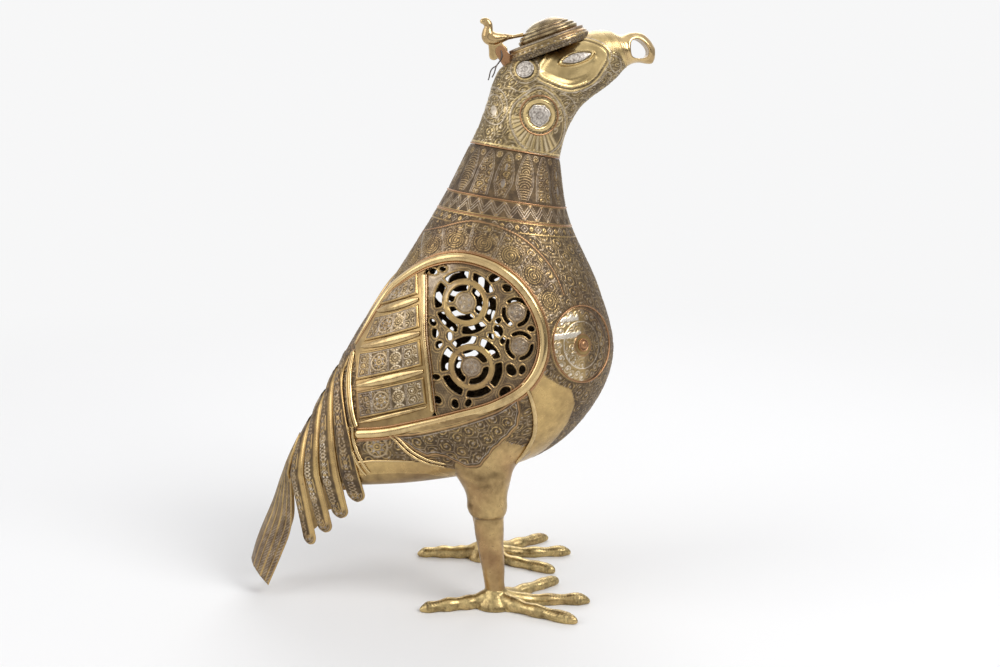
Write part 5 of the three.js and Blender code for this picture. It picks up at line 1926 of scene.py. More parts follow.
@dataclass
class Crown:
    """The crown: its collar, the lid with skirt and tab, the small bird on its hinge post, ears and wire.

    The crown's own frame has its first direction up the slope of the head, its second across and its third
    square to the collar. Turned forms in it are four fifths as wide across as they are long.
    """

    wardrobe: Wardrobe
    place: tuple[float, float, float] = (77.1, 428.2, 19.6)
    oval: float = 0.8
    ahead: float = 2.6
    seat: float = 6.3
    collar: tuple = (
        (32.4, -5), (32.4, -0.4), (32.2, 0.5), (31.6, 0.9), (31.5, 1.7), (31.1, 2.5), (30.6, 2.9),
        (29.9, 3.3), (29.6, 4.1), (29.7, 4.9), (29.9, 5.5), (29.5, 6.0), (28.2, 5.9), (24.5, 5.8),
        (20.4, 6.0), (19.6, 5.6), (19.5, 4.6), (19.5, -5),
    )
    dome: tuple = (
        (0.05, 13.55), (4, 13.45), (8, 12.75), (11, 11.6), (14.2, 9.9), (15.5, 8.8), (15.9, 8.0),
        (16.6, 8.2), (17.7, 7.8), (18.3, 6.9), (18.1, 6.1), (18.9, 5.8), (20.4, 5.75), (21.5, 5.2),
        (21.9, 4.3), (21.7, 3.5), (22.4, 3.2), (23.3, 2.9), (23.6, 2.2), (23.4, 1.1), (22.9, 0.05),
        (18, 0.05), (13, 0.1), (13, 3), (12.6, 7), (8, 9.8), (0.05, 11.4),
    )
    grooves: tuple = (((15.95, 8.0), 0.55), ((18.05, 6.15), 0.5), ((21.7, 3.5), 0.65), ((11.0, 11.6), 0.25))
    skirt: tuple = ((18.6, 2.7), (18.6, 6.2), (16.8, 6.2), (16.8, 2.7))
    hinge: tuple[float, float] = (40.6, 423.8)
    bird: tuple = (
        (50.4, 434.6, 1.5, 2.4), (46, 434.4, 2.3, 3.2), (41, 433.6, 3.8, 4.2), (35.5, 433, 5.4, 5.2),
        (31.6, 434.6, 5.5, 5.1), (31.0, 438.6, 4.2, 4.2), (31.5, 441.6, 3.3, 3.4), (31.0, 444.0, 3.3, 3.3),
        (29.4, 445.6, 3.2, 3.1), (27.0, 445.9, 2.4, 2.4), (25.2, 445.2, 0.9, 0.9),
    )
    post: tuple = (
        (32, 431), (31.8, 424), (32.2, 419), (33.6, 417.6), (36, 417.1), (39.4, 418.8), (43.2, 419.2),
        (45.8, 422.6), (45.4, 426.4), (42.8, 428.6), (41, 431),
    )
    tab: tuple = ((49.6, 434.5, 1.4, 2.4), (54.5, 435.5, 1.5, 3.0), (57.9, 436.3, 1.7, 3.8))
    plate: tuple = (
        (43.6, 426.4), (41.8, 427.7), (39.2, 427.6), (37.1, 425.8), (36.6, 423.2), (37.6, 420.6),
        (39.9, 417.6), (42, 414.5), (44, 412), (48, 415), (52, 418), (47.5, 421.6), (44.7, 424.2),
    )
    pin: tuple = ((40.6, 6.2, 423.8), (40.6, 0, 423.8), (40.6, -5.6, 423.8))
    ends: tuple = (
        ((40.6, -5.4, 424.2), (41.5, -6, 419.8), (37.2, -5.8, 413), (33.9, -5.2, 410.6), (32.4, -5.6, 408),
         (31.6, -5.4, 404.4), (30.8, -5.6, 402)),
        ((40.9, -5.8, 424), (41, -6.5, 418.8), (38.4, -6.2, 414.6), (36.8, -6.6, 412), (35.2, -6.6, 407),
         (33.6, -6.6, 404)),
    )

    def build(self) -> None:
        """Makes the crown: collar, ears and wire stay on the head, and the rest moves with the lid."""
        dress = self.wardrobe.dress
        dress(joined("crown_ring", [self.ring()]), Wardrobe.CROWN, "crown_collar")
        for side, sign in (("right", -1), ("left", 1)):
            plate = prism(spline(self.plate, 60, closed=True), 4.6 * sign, 2.9 * sign)
            ear = melted(joined(f"copper_ear_{side}", [plate]), 0.3, 3, 0.4)
            finished(ear, lambda p, n: inlay(Metal.COPPER, len(p)))
            dress(ear, Wardrobe.COPPER, f"hinge_ear_{side}")
        wires = []
        for points, count in ((self.pin, 12), *((end, 60) for end in self.ends)):
            up = np.tile([1.0, 0.2, 0.0], (count, 1))
            wires.append(swept(spline(points, count), up, wire_profile(0.48, 10), polish=0.2))
        dress(joined("twisted_wire", wires), Wardrobe.WIRE, "hinge_wire")
        dress(joined("lid_turned", [self.lid()]), Wardrobe.LID, "lid_dome", body="lid")
        lip = Part.tube(self.turned(np.array(self.skirt), 96, 0.0).transpose(1, 0, 2), hoop=True)
        dress(joined("lid_lip", [lip]), Wardrobe.SMOOTH, "lid_skirt", body="lid")
        dress(joined("lid_bar", [limb(self.tab, 24, 20)]), Wardrobe.SMOOTH, "lid_tab", body="lid")
        self.thumb_piece()

    def turned(self, profile: Array, count: int, ahead: float) -> Array:
        """Rings of an oval turned form.

        Args:
            profile: its radius and height above the collar's foot.
            count: points in a ring.
            ahead: how far up the slope of the head its middle lies.

        Returns:
            The rings, leaned with the collar.
        """
        x, z, tilt = self.place
        turn = circle(count)
        a, up = leaned(profile[:, :1] * np.cos(turn) + ahead, profile[:, 1:] + 0 * turn, -math.radians(tilt))
        return np.stack([x + a, profile[:, :1] * np.sin(turn) * self.oval, z + up], axis=-1)

    def ring(self) -> Part:
        """Turns the collar: low scrolls, gold lines, silver dots and a gold braid, and a painted copper glint
        in front.

        Returns:
            The part.
        """
        profile, turn = spline(self.collar, 90), circle(260)
        u, length = np.broadcast_arrays(turn * 30, travel(profile)[:, None])
        # The copper on the front of the upper moulding alone is a painted copper glint.
        work = Relief.blank(
            u, 0.15, copper=0.8 * smooth(6.6, 8.0, length) * smooth(-0.1, 0.8, np.cos(turn)),
            ground=0.45 * smooth(8.6, 9.6, length),
        )
        work = work.wire(pearls(u, length - 6.3, TAU * 30 / 40, 0.62), 0.3, Metal.SILVER)
        low = scrolls(u, length - 2.6, 4.2, 2.0)
        low.height *= 0.5
        work = work.wires(length, ((5.1, 0.22, 0.05, Metal.GOLD),)).lay(disc(length, 4.6), low)
        swing, above = 0.55 * np.sin(u * TAU / (TAU * 30 / 44)), length - 9.3
        work = work.wire(np.maximum(line(above - swing, 0.3), line(above + swing, 0.3)), 0.15, Metal.GOLD)
        work = work.wires(length, ((11.2, 0.35, 0.1, Metal.SILVER),))
        lean = math.radians(self.place[2])
        out = np.stack([np.cos(turn) * math.cos(lean), np.sin(turn), np.cos(turn) * math.sin(lean)], axis=-1)
        rings = self.turned(profile, 260, 0.0) + out * work.height[..., None]
        return Part.tube(rings.transpose(1, 0, 2), Relief(*(getattr(work, k).T for k in KEYS)), hoop=True)

    def lid(self) -> Part:
        """Turns the lid: mouldings, dark in their grooves, and petals cut round the flat top.

        Returns:
            The part.
        """
        profile = spline(self.dome, 130)
        hollow = np.maximum.reduce([line(np.hypot(*(profile - at).T), wide) for at, wide in self.grooves])
        r, turn = np.broadcast_arrays(profile[:, :1], circle(128))
        petal = line(np.abs(wave(turn * 10, TAU * 10 / 12)) * 1.6 + r - 7.4, 0.4)
        petal = petal * (r < 9) * (profile[:, 1:] > 12.2)
        # The flat top is painted pale silver as a painted highlight.
        work = Relief.blank(
            r, 0.55, ground=0.85 * hollow[:, None] + 0.5 * petal,
            silver=0.75 * smooth(9.4, 8.6, r) * (profile[:, 1:] > 11.8),
        )
        return Part.tube(self.turned(profile + [0, self.seat], 128, self.ahead), work)

    def thumb_piece(self) -> None:
        """The small cast bird on its post, run into one skin, with the pin's hole cut through."""
        made = joined("small_bird", [
            limb(self.bird, 60, 28), prism(spline(self.post, 60, closed=True), -2.6, 2.6),
        ])
        melted(made, 0.36, 5)
        eye = np.array(self.hinge) + wire_profile(0.8, 24)
        combined(made, joined("cut_pin", [prism(eye, -9, 9)]), "DIFFERENCE")
        self.wardrobe.dress(finished(made, self.figure_relief), Wardrobe.SMOOTH, "finial_bird", body="lid")

    def figure_relief(self, p: Array, n: Array) -> Relief:
        """Cuts eyes, a wing line and a ring round the pin a little into the smooth casting.

        Args:
            p: its points.
            n: their normals, which aren't needed.

        Returns:
            The worked surface.
        """
        x, y, z = p.T
        eye = np.hypot(x - 27.6, z - 446.4)
        wing = np.hypot((x - 38) / 7.5, (z - 434.2) / 3.2)
        cut = np.maximum(line(eye - 0.8, 0.22, 0.2), line(wing - 1, 0.07, 0.06) * (z < 436.5))
        cut = cut * (np.abs(y) > 1)
        pin = np.hypot(x - self.hinge[0], z - self.hinge[1])
        ring = line(pin - 3.6, 0.5, 0.3) * (np.abs(y) > 2.2)
        return Relief.blank(x, 0.6, height=-0.22 * cut, ground=0.6 * cut + 0.6 * ring)


# The wings

@dataclass
class Wing:
    """One wing and its mirror image: frame, bar, rear rib, covert panels, strips between them, and screen."""

    wardrobe: Wardrobe
    # Strength of each covert's painted highlight, from the top panel down.
    painted_highlight_strength: tuple = (0.92, 0.94, 0.98, 1.0)
    frame_half: float = 3.5
    frame_rise: float = 3.3
    coverts: tuple = (
        ((-24.5, 258), (-24.3, 243), (-54, 231), (-42, 244)),
        ((-24.3, 236), (-23.8, 219.5), (-66, 204.5), (-57, 223)),
        ((-23.6, 211.5), (-22, 192.5), (-72.3, 176), (-69.6, 196.5)),
        ((-21.2, 184.5), (-19.2, 164.5), (-70, 148.5), (-71.8, 168.5)),
    )
    large: tuple = ((9.6, 239.3), (13.5, 192.7))
    small: tuple = ((47, 232.5), (49.1, 208.3))
    leaves: tuple = (
        (-13.5, 260.5, 1.9), (-14.6, 224, 1.9), (-12.8, 216.5, 2.2), (-10.5, 208.5, 2), (-6.5, 262.6, 1.6),
        (-12, 168, 2.3), (1, 165.2, 2.2), (11, 166, 2), (31, 257.5, 2.7), (40.5, 250, 2.3),
        (33.8, 219.5, 2.8), (36.5, 212.2, 1.6), (33.5, 226.5, 1.6), (58, 220.5, 1.8), (42.5, 190.5, 3),
        (51, 190.6, 2.2), (37.8, 174.6, 3), (-12.6, 184.5, 1.8), (28, 215.6, 1.7), (-2.6, 214.8, 2),
    )

    def build(self) -> None:
        """Makes every piece of both wings."""
        dress, smooth_ = self.wardrobe.dress, Wardrobe.SMOOTH
        for side in ("right", "left"):
            pieces = [
                ("frame_bead", self.frame(), smooth_, "wing_frame"),
                ("bar", self.bar(), smooth_, "wing_bar"),
                ("rear_rib", self.rear_rib(), smooth_, "wing_rear_rib"),
            ]
            for i in range(1, 5):
                pieces.append((f"covert_{i}", [self.covert(i - 1)], Wardrobe.INLAID, f"wing_covert_{i}"))
            for name, parts, finish, node in (*pieces, ("covert_strips", self.strips(), smooth_, "")):
                turned = parts if side == "right" else map(Part.on_left, parts)
                dress(joined(f"{name}_{side}", turned), finish, *([f"{node}_{side}"] if node else []))
            dress(self.screen(side), Wardrobe.INLAID, f"wing_screen_{side}")

    def line(self, points: Sequence, count: int) -> tuple[Array, Array, Array]:
        """Follows a line on the flank.

        Args:
            points: the line seen from the side.
            count: points to make.

        Returns:
            The path, the body's normals along it, and the direction beside it.
        """
        x, z = spline(points, count).T
        t, phi = BODY.locate(x, z)
        path, up = BODY.bare(t, phi), BODY.normal(t, phi)
        return path, up, unit(np.cross(unit(np.gradient(path, axis=0)), up))

    def frame(self) -> list[Part]:
        """Sweeps the bead round the wing, thinner at its lower end, with a copper wire along both edges.

        Returns:
            The bead and the two wires.
        """
        path, up, across = self.line(FRAME_LINE, 260)
        share = np.linspace(0, 1, len(path))
        taper = np.where(share > 0.86, 1 - (share - 0.86) * 4, 1.0)
        half, turn = self.frame_half, np.linspace(0, math.pi, 17)
        bulge = np.stack([-half * np.cos(turn), self.frame_rise * np.sin(turn) ** 0.8], axis=1)
        profile = np.vstack([bulge, [[half, -0.8], [-half, -0.8]]])
        copper = Relief.blank(np.zeros((len(path), 8)), 0.2, copper=1)
        parts = [swept(path, up, profile, taper, taper, polish=1.0)]
        for sign in (-1, 1):
            edge = path + across * (sign * (half + 0.55) * taper)[:, None] + up * 0.55
            parts.append(swept(edge, up, wire_profile(0.72), taper, taper, relief=copper))
        return parts

    def bar(self) -> list[Part]:
        """Sweeps the upright bar: a gold bead and, on the screen's side, a thinner one.

        Returns:
            The two beads.
        """
        path, up, across = self.line(BAR_LINE, 90)
        across *= np.sign(across[:, :1])
        thin = Relief.blank(np.zeros((len(path), 14)), 0.3, copper=0.55, silver=0.3)
        return [
            swept(path - across * 0.7, up, round_profile(1.9, 2.6), polish=0.9),
            swept(path + across * 1.75, up, round_profile(0.8, 1.7), relief=thin),
        ]

    def rear_rib(self) -> list[Part]:
        """Sweeps the rib behind the coverts: two round beads side by side, the front one broader.

        Returns:
            The two beads.
        """
        path, up, across = self.line(REAR_RIB_LINE, 70)
        across *= np.sign(across[:, :1])
        swell = 0.55 + 0.45 * np.sin(np.clip(np.linspace(0, 1, len(path)) * 1.25, 0, 1) * math.pi / 2)
        return [
            swept(path + across * 0.9, up, round_profile(1.9, 2.9), swell, swell, polish=0.95),
            swept(path - across * 1.9, up, round_profile(1.15, 2.2), swell, swell, polish=0.7),
        ]

    def covert(self, index: int) -> Part:
        """One covert panel: a plate with a raised border round a worked field.

        Args:
            index: from 0 at the top.

        Returns:
            The part. Its points lie between its four corners by sharing out both ways.
        """
        a, b, c, d = (np.array(p, float) for p in self.coverts[index])
        s, v = np.meshgrid(np.linspace(0, 1, 101), np.linspace(0, 1, 43), indexing="ij")
        flat = ((1 - s) * (1 - v))[..., None] * a + ((1 - s) * v)[..., None] * b
        flat = flat + (s * v)[..., None] * c + (s * (1 - v))[..., None] * d
        long = (np.linalg.norm(d - a) + np.linalg.norm(c - b)) / 2
        high = (np.linalg.norm(a - b) + np.linalg.norm(c - d)) / 2
        u, w = s * long, (0.5 - v) * high
        edge = np.minimum(np.minimum(u, long - u), high / 2 - np.abs(w))
        cells = np.array([0.0, 0.27, 0.5, 0.78, 1.0]) * long
        work = scrolls(u, w + 3, 6.6, 1.0 + index)
        pair = whorl(u - (cells[1] + cells[2]) / 2, wave(w + 0.24 * high, 0.48 * high), 0.23 * high, 1.4)
        work = work.lay((u > cells[1]) & (u < cells[2]), pair)
        work = work.lay(u > cells[3], scrolls(u + 3, w + 2, 4.6, 6.0 + index))
        at, radius = u - (cells[2] + cells[3]) / 2, high * 0.33
        work = work.lay(disc(np.hypot(at, w), radius), rosette(at, w, radius, 6))
        # Painted highlight: each panel's front end is made more silver and more polished.
        bright = smooth(0.95, 0.35, u / long)
        work.silver = np.maximum(work.silver, 0.35 * bright * (1 - work.ground))
        work.polish = np.maximum(work.polish, self.painted_highlight_strength[index] * bright)
        for cell in cells[1:4]:
            work = work.wire(line(np.abs(u - cell) - 0.55, 0.25), CUT * 1.1, Metal.SILVER)
        work = work.wires(edge, ((2.3, 0.3, CUT, Metal.SILVER),))
        work = work.lay(disc(edge, 1.7), Relief.blank(u, 0.5, height=0.35))
        work = work.wires(edge, ((1.9, 0.2, 0.0, Metal.DARK),))
        t, phi = BODY.locate(flat[..., 0], flat[..., 1])
        round_off = 1.3 * (1 - smooth(0.0, 1.3, edge)) ** 2
        return pillow(BODY.point(t, phi, 1.75 + work.height - round_off), BODY.point(t, phi, 0.1), work)

    def strips(self) -> list[Part]:
        """Shapes the smooth swollen strips under the panels: rounded across, drawn in at both ends.

        Returns:
            The four strips.
        """
        below = [(panel[0], panel[3]) for panel in self.coverts[1:]] + [((-20, 160), (-71, 143.5))]
        parts = []
        for panel, ends in zip(self.coverts, below):
            b, c, a, d = (np.array(p, float) for p in (*panel[1:3], *ends))
            s, v = np.meshgrid(np.linspace(0, 1, 80), np.linspace(-1, 1, 25), indexing="ij")
            upper = (1 - s)[..., None] * b + s[..., None] * c
            under = (1 - s)[..., None] * a + s[..., None] * d
            lens = (0.12 + 0.88 * np.sin(np.clip(0.06 + s * 0.94, 0, 1) * math.pi) ** 0.6) * 0.9
            share = (1 + v * lens) / 2 - 0.04 * np.sin(s * math.pi)
            flat = upper + (under - upper) * share[..., None]
            t, phi = BODY.locate(flat[..., 0], flat[..., 1])
            bulge = 2.3 * np.sqrt(np.clip(1 - v ** 2, 0, 1)) * (0.45 + 0.55 * lens)
            work = Relief.blank(v, 0.7, ground=0.75 * smooth(0.8, 0.95, np.abs(v)))
            parts.append(pillow(BODY.point(t, phi, 0.5 + bulge), BODY.point(t, phi, -0.3), work))
        return parts

    def holes(self, x: Array, z: Array) -> Array:
        """Distance to the nearest opening of the screen, less than 0 inside one.

        Args:
            x, z: points seen from the side.

        Returns:
            The least of each slot's and each leaf's own distance. A slot's is the greatest of how far the
            point lies inside its inner radius, outside its outer one and past its ends.
        """
        found = np.full(x.shape, 99.0)

        def slots(centre: Sequence[float], inner: float, outer: float, count: int, strap: float,
                  turn: float, curl: float) -> None:
            """Adds slots round a ring, parted by straps.

            Args:
                centre: of the ring.
                inner, outer: radii of the slots.
                count: how many.
                strap: width of a strap.
                turn: angle of the first strap.
                curl: how far straps lean, in turns of the ring's angle.
            """
            nonlocal found
            r = np.hypot(x - centre[0], z - centre[1])
            a = np.arctan2(z - centre[1], x - centre[0]) - turn
            middle = wave(a, TAU / count)
            ends = (np.abs(middle) - math.pi / count) * r + strap / 2 + 0.35
            sway = curl * np.cos(middle * count * 0.5)
            across = np.abs(r - (inner + outer) / 2 - 0.35 * curl) - (outer - inner) / 2 + 0.35 - 0.5 * sway
            corner = np.hypot(np.maximum(ends + 1.1, 0), np.maximum(across + 1.1, 0)) - 1.1
            found = np.minimum(found, np.maximum(corner, np.maximum(ends, across) - 0.4))

        for i, centre in enumerate(self.large):
            slots(centre, 16.9, 22.6, 6, 2.9, 0.3 + i, 0.5)
            slots(centre, 8.0, 12.6, 3, 2.9, 1.2 - i, 0.5)
        for i, centre in enumerate(self.small):
            slots(centre, 7.6, 10.6, 3, 3.0, 0.4 + 2 * i, 0.5)
        for k, (cx, cz, radius) in enumerate(self.leaves):
            a, b = leaned(x - cx, z - cz, 2.4 * k)
            found = np.minimum(found, np.hypot(a / 1.32, b * 1.05 + 0.1 * np.abs(a)) - radius * 1.16)
        return found

    def screen(self, side: str) -> bpy.types.Object:
        """The pierced screen: a sheet on a fine grid, its openings' edges drawn onto their true lines.

        Args:
            side: right or left.

        Returns:
            The object. Every opening and the outer edge have a raised gold wire, with silver inside it.
        """
        pitch = 0.56
        xs, zs = np.arange(-21, 68, pitch), np.arange(150, 273, pitch)
        x, z = np.meshgrid(xs, zs, indexing="ij")
        rim = window_line(-0.3)

        def depth(x: Array, z: Array) -> tuple[Array, Array]:
            """Measures how far points lie inside.

            Args:
                x, z: the points.

            Returns:
                The depth in the metal, and the depth within the outer edge.
            """
            away, _ = distance_to(rim, np.stack([x, z], axis=-1), closed=True)
            border = away * np.where(inside(rim, x, z), 1, -1)
            return np.minimum(self.holes(x, z), border), border

        for _ in range(2):
            here, _ = depth(x, z)
            s = 0.15
            gx = (depth(x + s, z)[0] - depth(x - s, z)[0]) / (2 * s)
            gz = (depth(x, z + s)[0] - depth(x, z - s)[0]) / (2 * s)
            steep = np.maximum(gx ** 2 + gz ** 2, 0.3)
            near = np.abs(here) < 0.36
            x = np.where(near, x - here * gx / steep, x)
            z = np.where(near, z - here * gz / steep, z)
        keep = depth(*np.meshgrid(xs[:-1] + pitch / 2, zs[:-1] + pitch / 2, indexing="ij"))[0] > 0
        work = self.screen_relief(x, z, depth(x, z)[0])
        t, phi = BODY.locate(x, z)
        top, bottom = BODY.point(t, phi, work.height - 0.55), BODY.point(t, phi, -2.1)
        made = sheet(f"screen_{side}", top, bottom, keep, work.paint(), side == "left")
        sharpen(made, 38)
        return made

    def screen_relief(self, x: Array, z: Array, here: Array) -> Relief:
        """Works out the screen's surface.

        Args:
            x, z: its points, seen from the side.
            here: how far they lie inside the metal.

        Returns:
            Gold wires along the edges, and stippled grey inlay, discs and roundels between them.
        """
        zero = np.zeros(x.shape)
        band = smooth(1.25, 1.6, here)
        stipple = pearls(x + 0.5 * z, wave(z, 1.9), 1.9, 0.42) * band
        work = Relief(zero - 0.1 + 0.15 * stipple, zero + 0.85 - 0.35 * stipple, band * 0.2, zero, zero + 0.1)
        work = work.wires(here, ((2.4, 0.22, 0.2, Metal.GOLD),))
        for i, (cx, cz) in enumerate(self.large + self.small):
            radius = 8.0 if i < 2 else 7.6
            r = np.hypot(x - cx, z - cz)
            face = rosette(x - cx, z - cz, radius * 0.82, 5 + i % 2)
            face.silver = np.maximum(face.silver, 0.6 * (r < radius))
            face.ground *= 0.45
            work = work.lay(disc(r, radius * 0.86), face)
            if i < 2:
                work = work.lay(line(r - 14.7, 1.3), Relief.blank(x, 0.9, height=0.1))
        # Painted highlight: the screen's upper rear corner gets more silver and less dark ground.
        bright = smooth(6, 0, x) * smooth(238, 246, z)
        work.silver = np.clip(work.silver + 0.5 * bright * band, 0, 1)
        work.ground = work.ground * (1 - 0.7 * bright)
        wire = work.wires(here, ((0.6, 0.42, 0.42, Metal.GOLD),))
        wire.polish = np.minimum(wire.polish, 0.4)
        return wire


def sheet(
    name: str, top: Array, bottom: Array, keep: Array, paint: Array, left: bool,
) -> bpy.types.Object:
    """A plate of two grids with squares left out, walled round every opening.

    Args:
        name: the object's name.
        top, bottom: grids of points.
        keep: which squares there are, one fewer each way.
        paint: four masks for each top point.
        left: whether it goes on the left side.

    Returns:
        The object.
    """
    m, n = top.shape[:2]
    index = np.arange(m * n).reshape(m, n)
    a, b, c, d = index[:-1, :-1], index[:-1, 1:], index[1:, 1:], index[1:, :-1]
    quads = np.stack([a, b, c, d], axis=-1)[keep]
    under = quads[:, ::-1] + m * n
    sides = []
    grown = np.pad(keep, 1)
    for (p, q), shift in (((a, d), (1, 0)), ((c, b), (1, 2)), ((b, a), (0, 1)), ((d, c), (2, 1))):
        beside = grown[shift[0]:shift[0] + m - 1, shift[1]:shift[1] + n - 1]
        edge = keep & ~beside
        sides.append(np.stack([p[edge], q[edge], q[edge] + m * n, p[edge] + m * n], axis=-1))
    faces = [quads, under, np.vstack(sides)]
    points = np.concatenate([top.reshape(-1, 3), bottom.reshape(-1, 3)])
    if left:
        points = mirrored(points)
    if volume(points, faces) < 0:
        faces = [f[:, ::-1] for f in faces]
    rest = np.zeros((m * n, 4), np.float32)
    rest[:, 0] = 0.5
    return object_from(name, points, faces, paint=np.vstack([paint.reshape(-1, 4), rest]))


# The tail

@dataclass
class Tail:
    """The long coverts with round tips on each side, and the arched plate between them."""

    wardrobe: Wardrobe
    tips: tuple = ((-72.3, 83.5), (-85.5, 68.5), (-98.3, 54.5), (-111, 41.5))
    rise: float = 2.2
    crown: float = 1.2
    thin: float = 0.8
    tip_half: float = 7.3
    inward: float = 0.04
    lift: float = 0.8
    gap: float = 0.3
    ridge: tuple = ((-135.5, 90), (-141.5, 73), (-149, 56), (-155.5, 40), (-160, 25))
    edge: tuple = ((-126.5, 90, 12), (-126, 73, 13), (-127, 53, 15), (-135, 32, 18), (-145.5, 8.5, 19))
    plate: float = 2.4

    def build(self) -> None:
        """Makes the feathers of both sides and the plate."""
        for i in range(4):
            name = f"feather_{i + 1}"
            self.wardrobe.pair(name, [self.feather(i)], Wardrobe.INLAID, f"tail_{name}")
        self.wardrobe.dress(joined("tail", [self.tail_plate()]), Wardrobe.INLAID, "tail_plate")

    def feather(self, index: int) -> Part:
        """One long covert, laid on the body and then free down to its round tip.

        Args:
            index: from 0 at the front.

        Returns:
            The part: rows run down it, first between its two border lines and then straight to the tip,
            where its half width falls as a circle. All but the first have a bright trough along the front.
        """
        front, rear = (spline(FEATHER_BORDERS[index + k], 90) for k in (0, 1))
        s = np.linspace(-1, 1, 37)
        share = (1 + s * (1 - 2 * self.gap / np.linalg.norm(front - rear, axis=1)[:, None])) / 2
        flat = rear[:, None] + (front - rear)[:, None] * share[..., None]
        t, phi = BODY.locate(flat[..., 0], flat[..., 1])
        base, up = BODY.bare(t, phi), BODY.normal(t, phi)
        half = np.linalg.norm(base[:, -1] - base[:, 0], axis=1) / 2
        start, across = base[-1, 18], unit(base[-1, -1] - base[-1, 0])
        end = np.array([self.tips[index][0], start[1] * (1 - self.inward), self.tips[index][1]])
        step = 0.85 + 0.15 * np.sin(np.linspace(0.05, 1, 18) * math.pi / 2)
        step = np.concatenate([np.linspace(0.02, 0.85, 46), step])
        reach = (1 - step) * (start[2] - end[2])
        blunt = np.sqrt(np.clip(1 - (1 - reach / self.tip_half) ** 2, 0, 1))
        blunt = np.where(reach < self.tip_half, blunt, 1.0)
        free_half = lerp(half[-1], self.tip_half, np.minimum(step * 1.5, 1))
        tip_half = np.maximum(free_half * blunt, 0.15)
        centre = start + (end - start) * step[:, None]
        points = np.vstack([base, centre[:, None] + across * (s * tip_half[:, None])[..., None]])
        ups = np.vstack([up, np.broadcast_to(up[-1, 18], (len(step), len(s), 3))])
        lateral = np.concatenate([half, tip_half])[:, None] * s
        wide = np.concatenate([half, free_half])[:, None] + 0 * s
        past = np.concatenate([np.zeros(90), np.maximum(self.tip_half - reach, 0)])[:, None]
        edge = wide - np.hypot(lateral, past)
        run = travel(points[:, 18])[:, None] + 0 * s
        tip_at, split = run[-1, 0] - self.tip_half, 0.30
        fold = np.clip((s + 1) / (split + 1), 0, 1) * 2 - 1 if index else s
        work = plait(run + 5 * index, fold * (wide * ((split + 1) / 2 if index else 1.0)) * 0.92, 7.0)
        if index:
            # Painted highlight along the middle stretch of every feather but the first, short of its tip.
            bright = smooth(18, 60, run) * smooth(tip_at + 2, tip_at - 24, run)
            work.polish = np.maximum(work.polish, 0.97 * bright)
        work = work.lay(smooth(tip_at - 1.5, tip_at - 0.5, run), rosette(run - tip_at, lateral, 6.4, 5))
        work.height = work.height + 0.7 * np.sqrt(np.clip(1 - fold ** 2, 0, 1))
        if index:
            trough = np.clip((s - split) / (1 - split), 0, 1)
            gutter = smooth(split - 0.02, split + 0.06, s) * smooth(tip_at + 3, tip_at - 3, run)
            work = work.lay(gutter, Relief.blank(lateral, 1.0, height=-1.2 * np.sin(trough * math.pi)))
            work = work.wire(line(s - split, 0.06, 0.04) * gutter, 0.25, Metal.DARK)
        work = work.lay(disc(edge, 0.95, 0.25), Relief.blank(lateral, 0.8, height=0.3))
        work = work.wires(edge, ((1.25, 0.2, 0.0, Metal.DARK),))
        fade = np.concatenate([np.zeros(90), step])[:, None]
        high = self.rise * (1 - fade / 2) * (0.2 + 0.8 * smooth(0, 18, run))
        high = high + self.crown * (1 - s ** 2) * 0.8 - 0.5
        high = high + work.height - 0.9 * (1 - smooth(0.0, 0.9, edge)) ** 2
        low = self.lift - 0.5 - fade * self.thin
        return pillow(points + ups * high[..., None], points + ups * low[..., None], work)

    def tail_plate(self) -> Part:
        """Shapes the arched plate: from the back between the feathers, then along its own ridge.

        Returns:
            The part.
        """
        border = spline(FEATHER_BORDERS[-1], 80)[6:]
        t, phi = BODY.locate(border[:, 0] - self.gap, border[:, 1])
        s = np.linspace(-1, 1, 81)
        places = (np.broadcast_to(t[:, None], (len(t), len(s))), phi[:, None] * s * 0.94)
        on_body, under = BODY.point(*places, self.gap + self.plate), BODY.point(*places, -0.6)
        ridge, edge = spline(self.ridge, 112), spline(self.edge, 112)
        turn = s * math.pi / 2

        def arch(sink: float) -> Array:
            """Bends the free part: across by sine, and down the edge's slope by one less cosine.

            Args:
                sink: depth under the outer face, in mm.

            Returns:
                Its points.
            """
            drop = np.linalg.norm(edge[:, :2] - ridge, axis=1)
            way = (edge[:, :2] - ridge) / drop[:, None]
            along = sink + (drop - sink)[:, None] * (1 - np.cos(turn))
            x, z = ridge[:, :1] + way[:, :1] * along, ridge[:, 1:] + way[:, 1:] * along
            return np.stack([x, -(edge[:, 2] - sink)[:, None] * np.sin(turn), z], axis=-1)

        # The last ring on the body passes into the first of the free part over a few blended rows.
        blend = np.linspace(0, 1, 12)[1:-1, None, None]
        top = np.vstack([on_body, lerp(on_body[-1], arch(0)[0], blend * blend * (3 - 2 * blend)), arch(0)])
        low = np.vstack([under, lerp(under[-1], arch(self.plate)[0], blend), arch(self.plate)])
        side = travel(top[-20])
        full = side[-1] / 2
        u, v = np.broadcast_arrays(travel(top[:, 40])[:, None], np.abs(side - full))
        leaf = wave(v + 0.9 * np.sin(u / 23), full / 3)
        off = np.abs(leaf)
        quill = line(wave(u - 1.6 * off, 2.5), 0.6, 0.3) * smooth(0.7, 1.0, off)
        quill = quill * smooth(full / 6 - 0.8, full / 6 - 1.2, off)
        work = Relief.blank(v, 0.3, ground=0.85).wire(quill, 0.4, Metal.SILVER)
        work = work.wire(line(leaf, 0.4) * (v > 2), 0.25, Metal.GOLD)
        rib = Relief.blank(v, 0.85, height=0.6)
        work = work.lay(np.maximum(line(off - full / 6, 0.75), disc(v, 1.3)), rib)
        work = work.lay(line(v - full, 1.6), rib)
        normals = grid_normals(top, False)
        normals *= np.sign(np.sum(normals * (top - low), axis=-1, keepdims=True))
        return pillow(top + normals * (work.height * 0.8)[..., None], low, work)


# Legs and feet

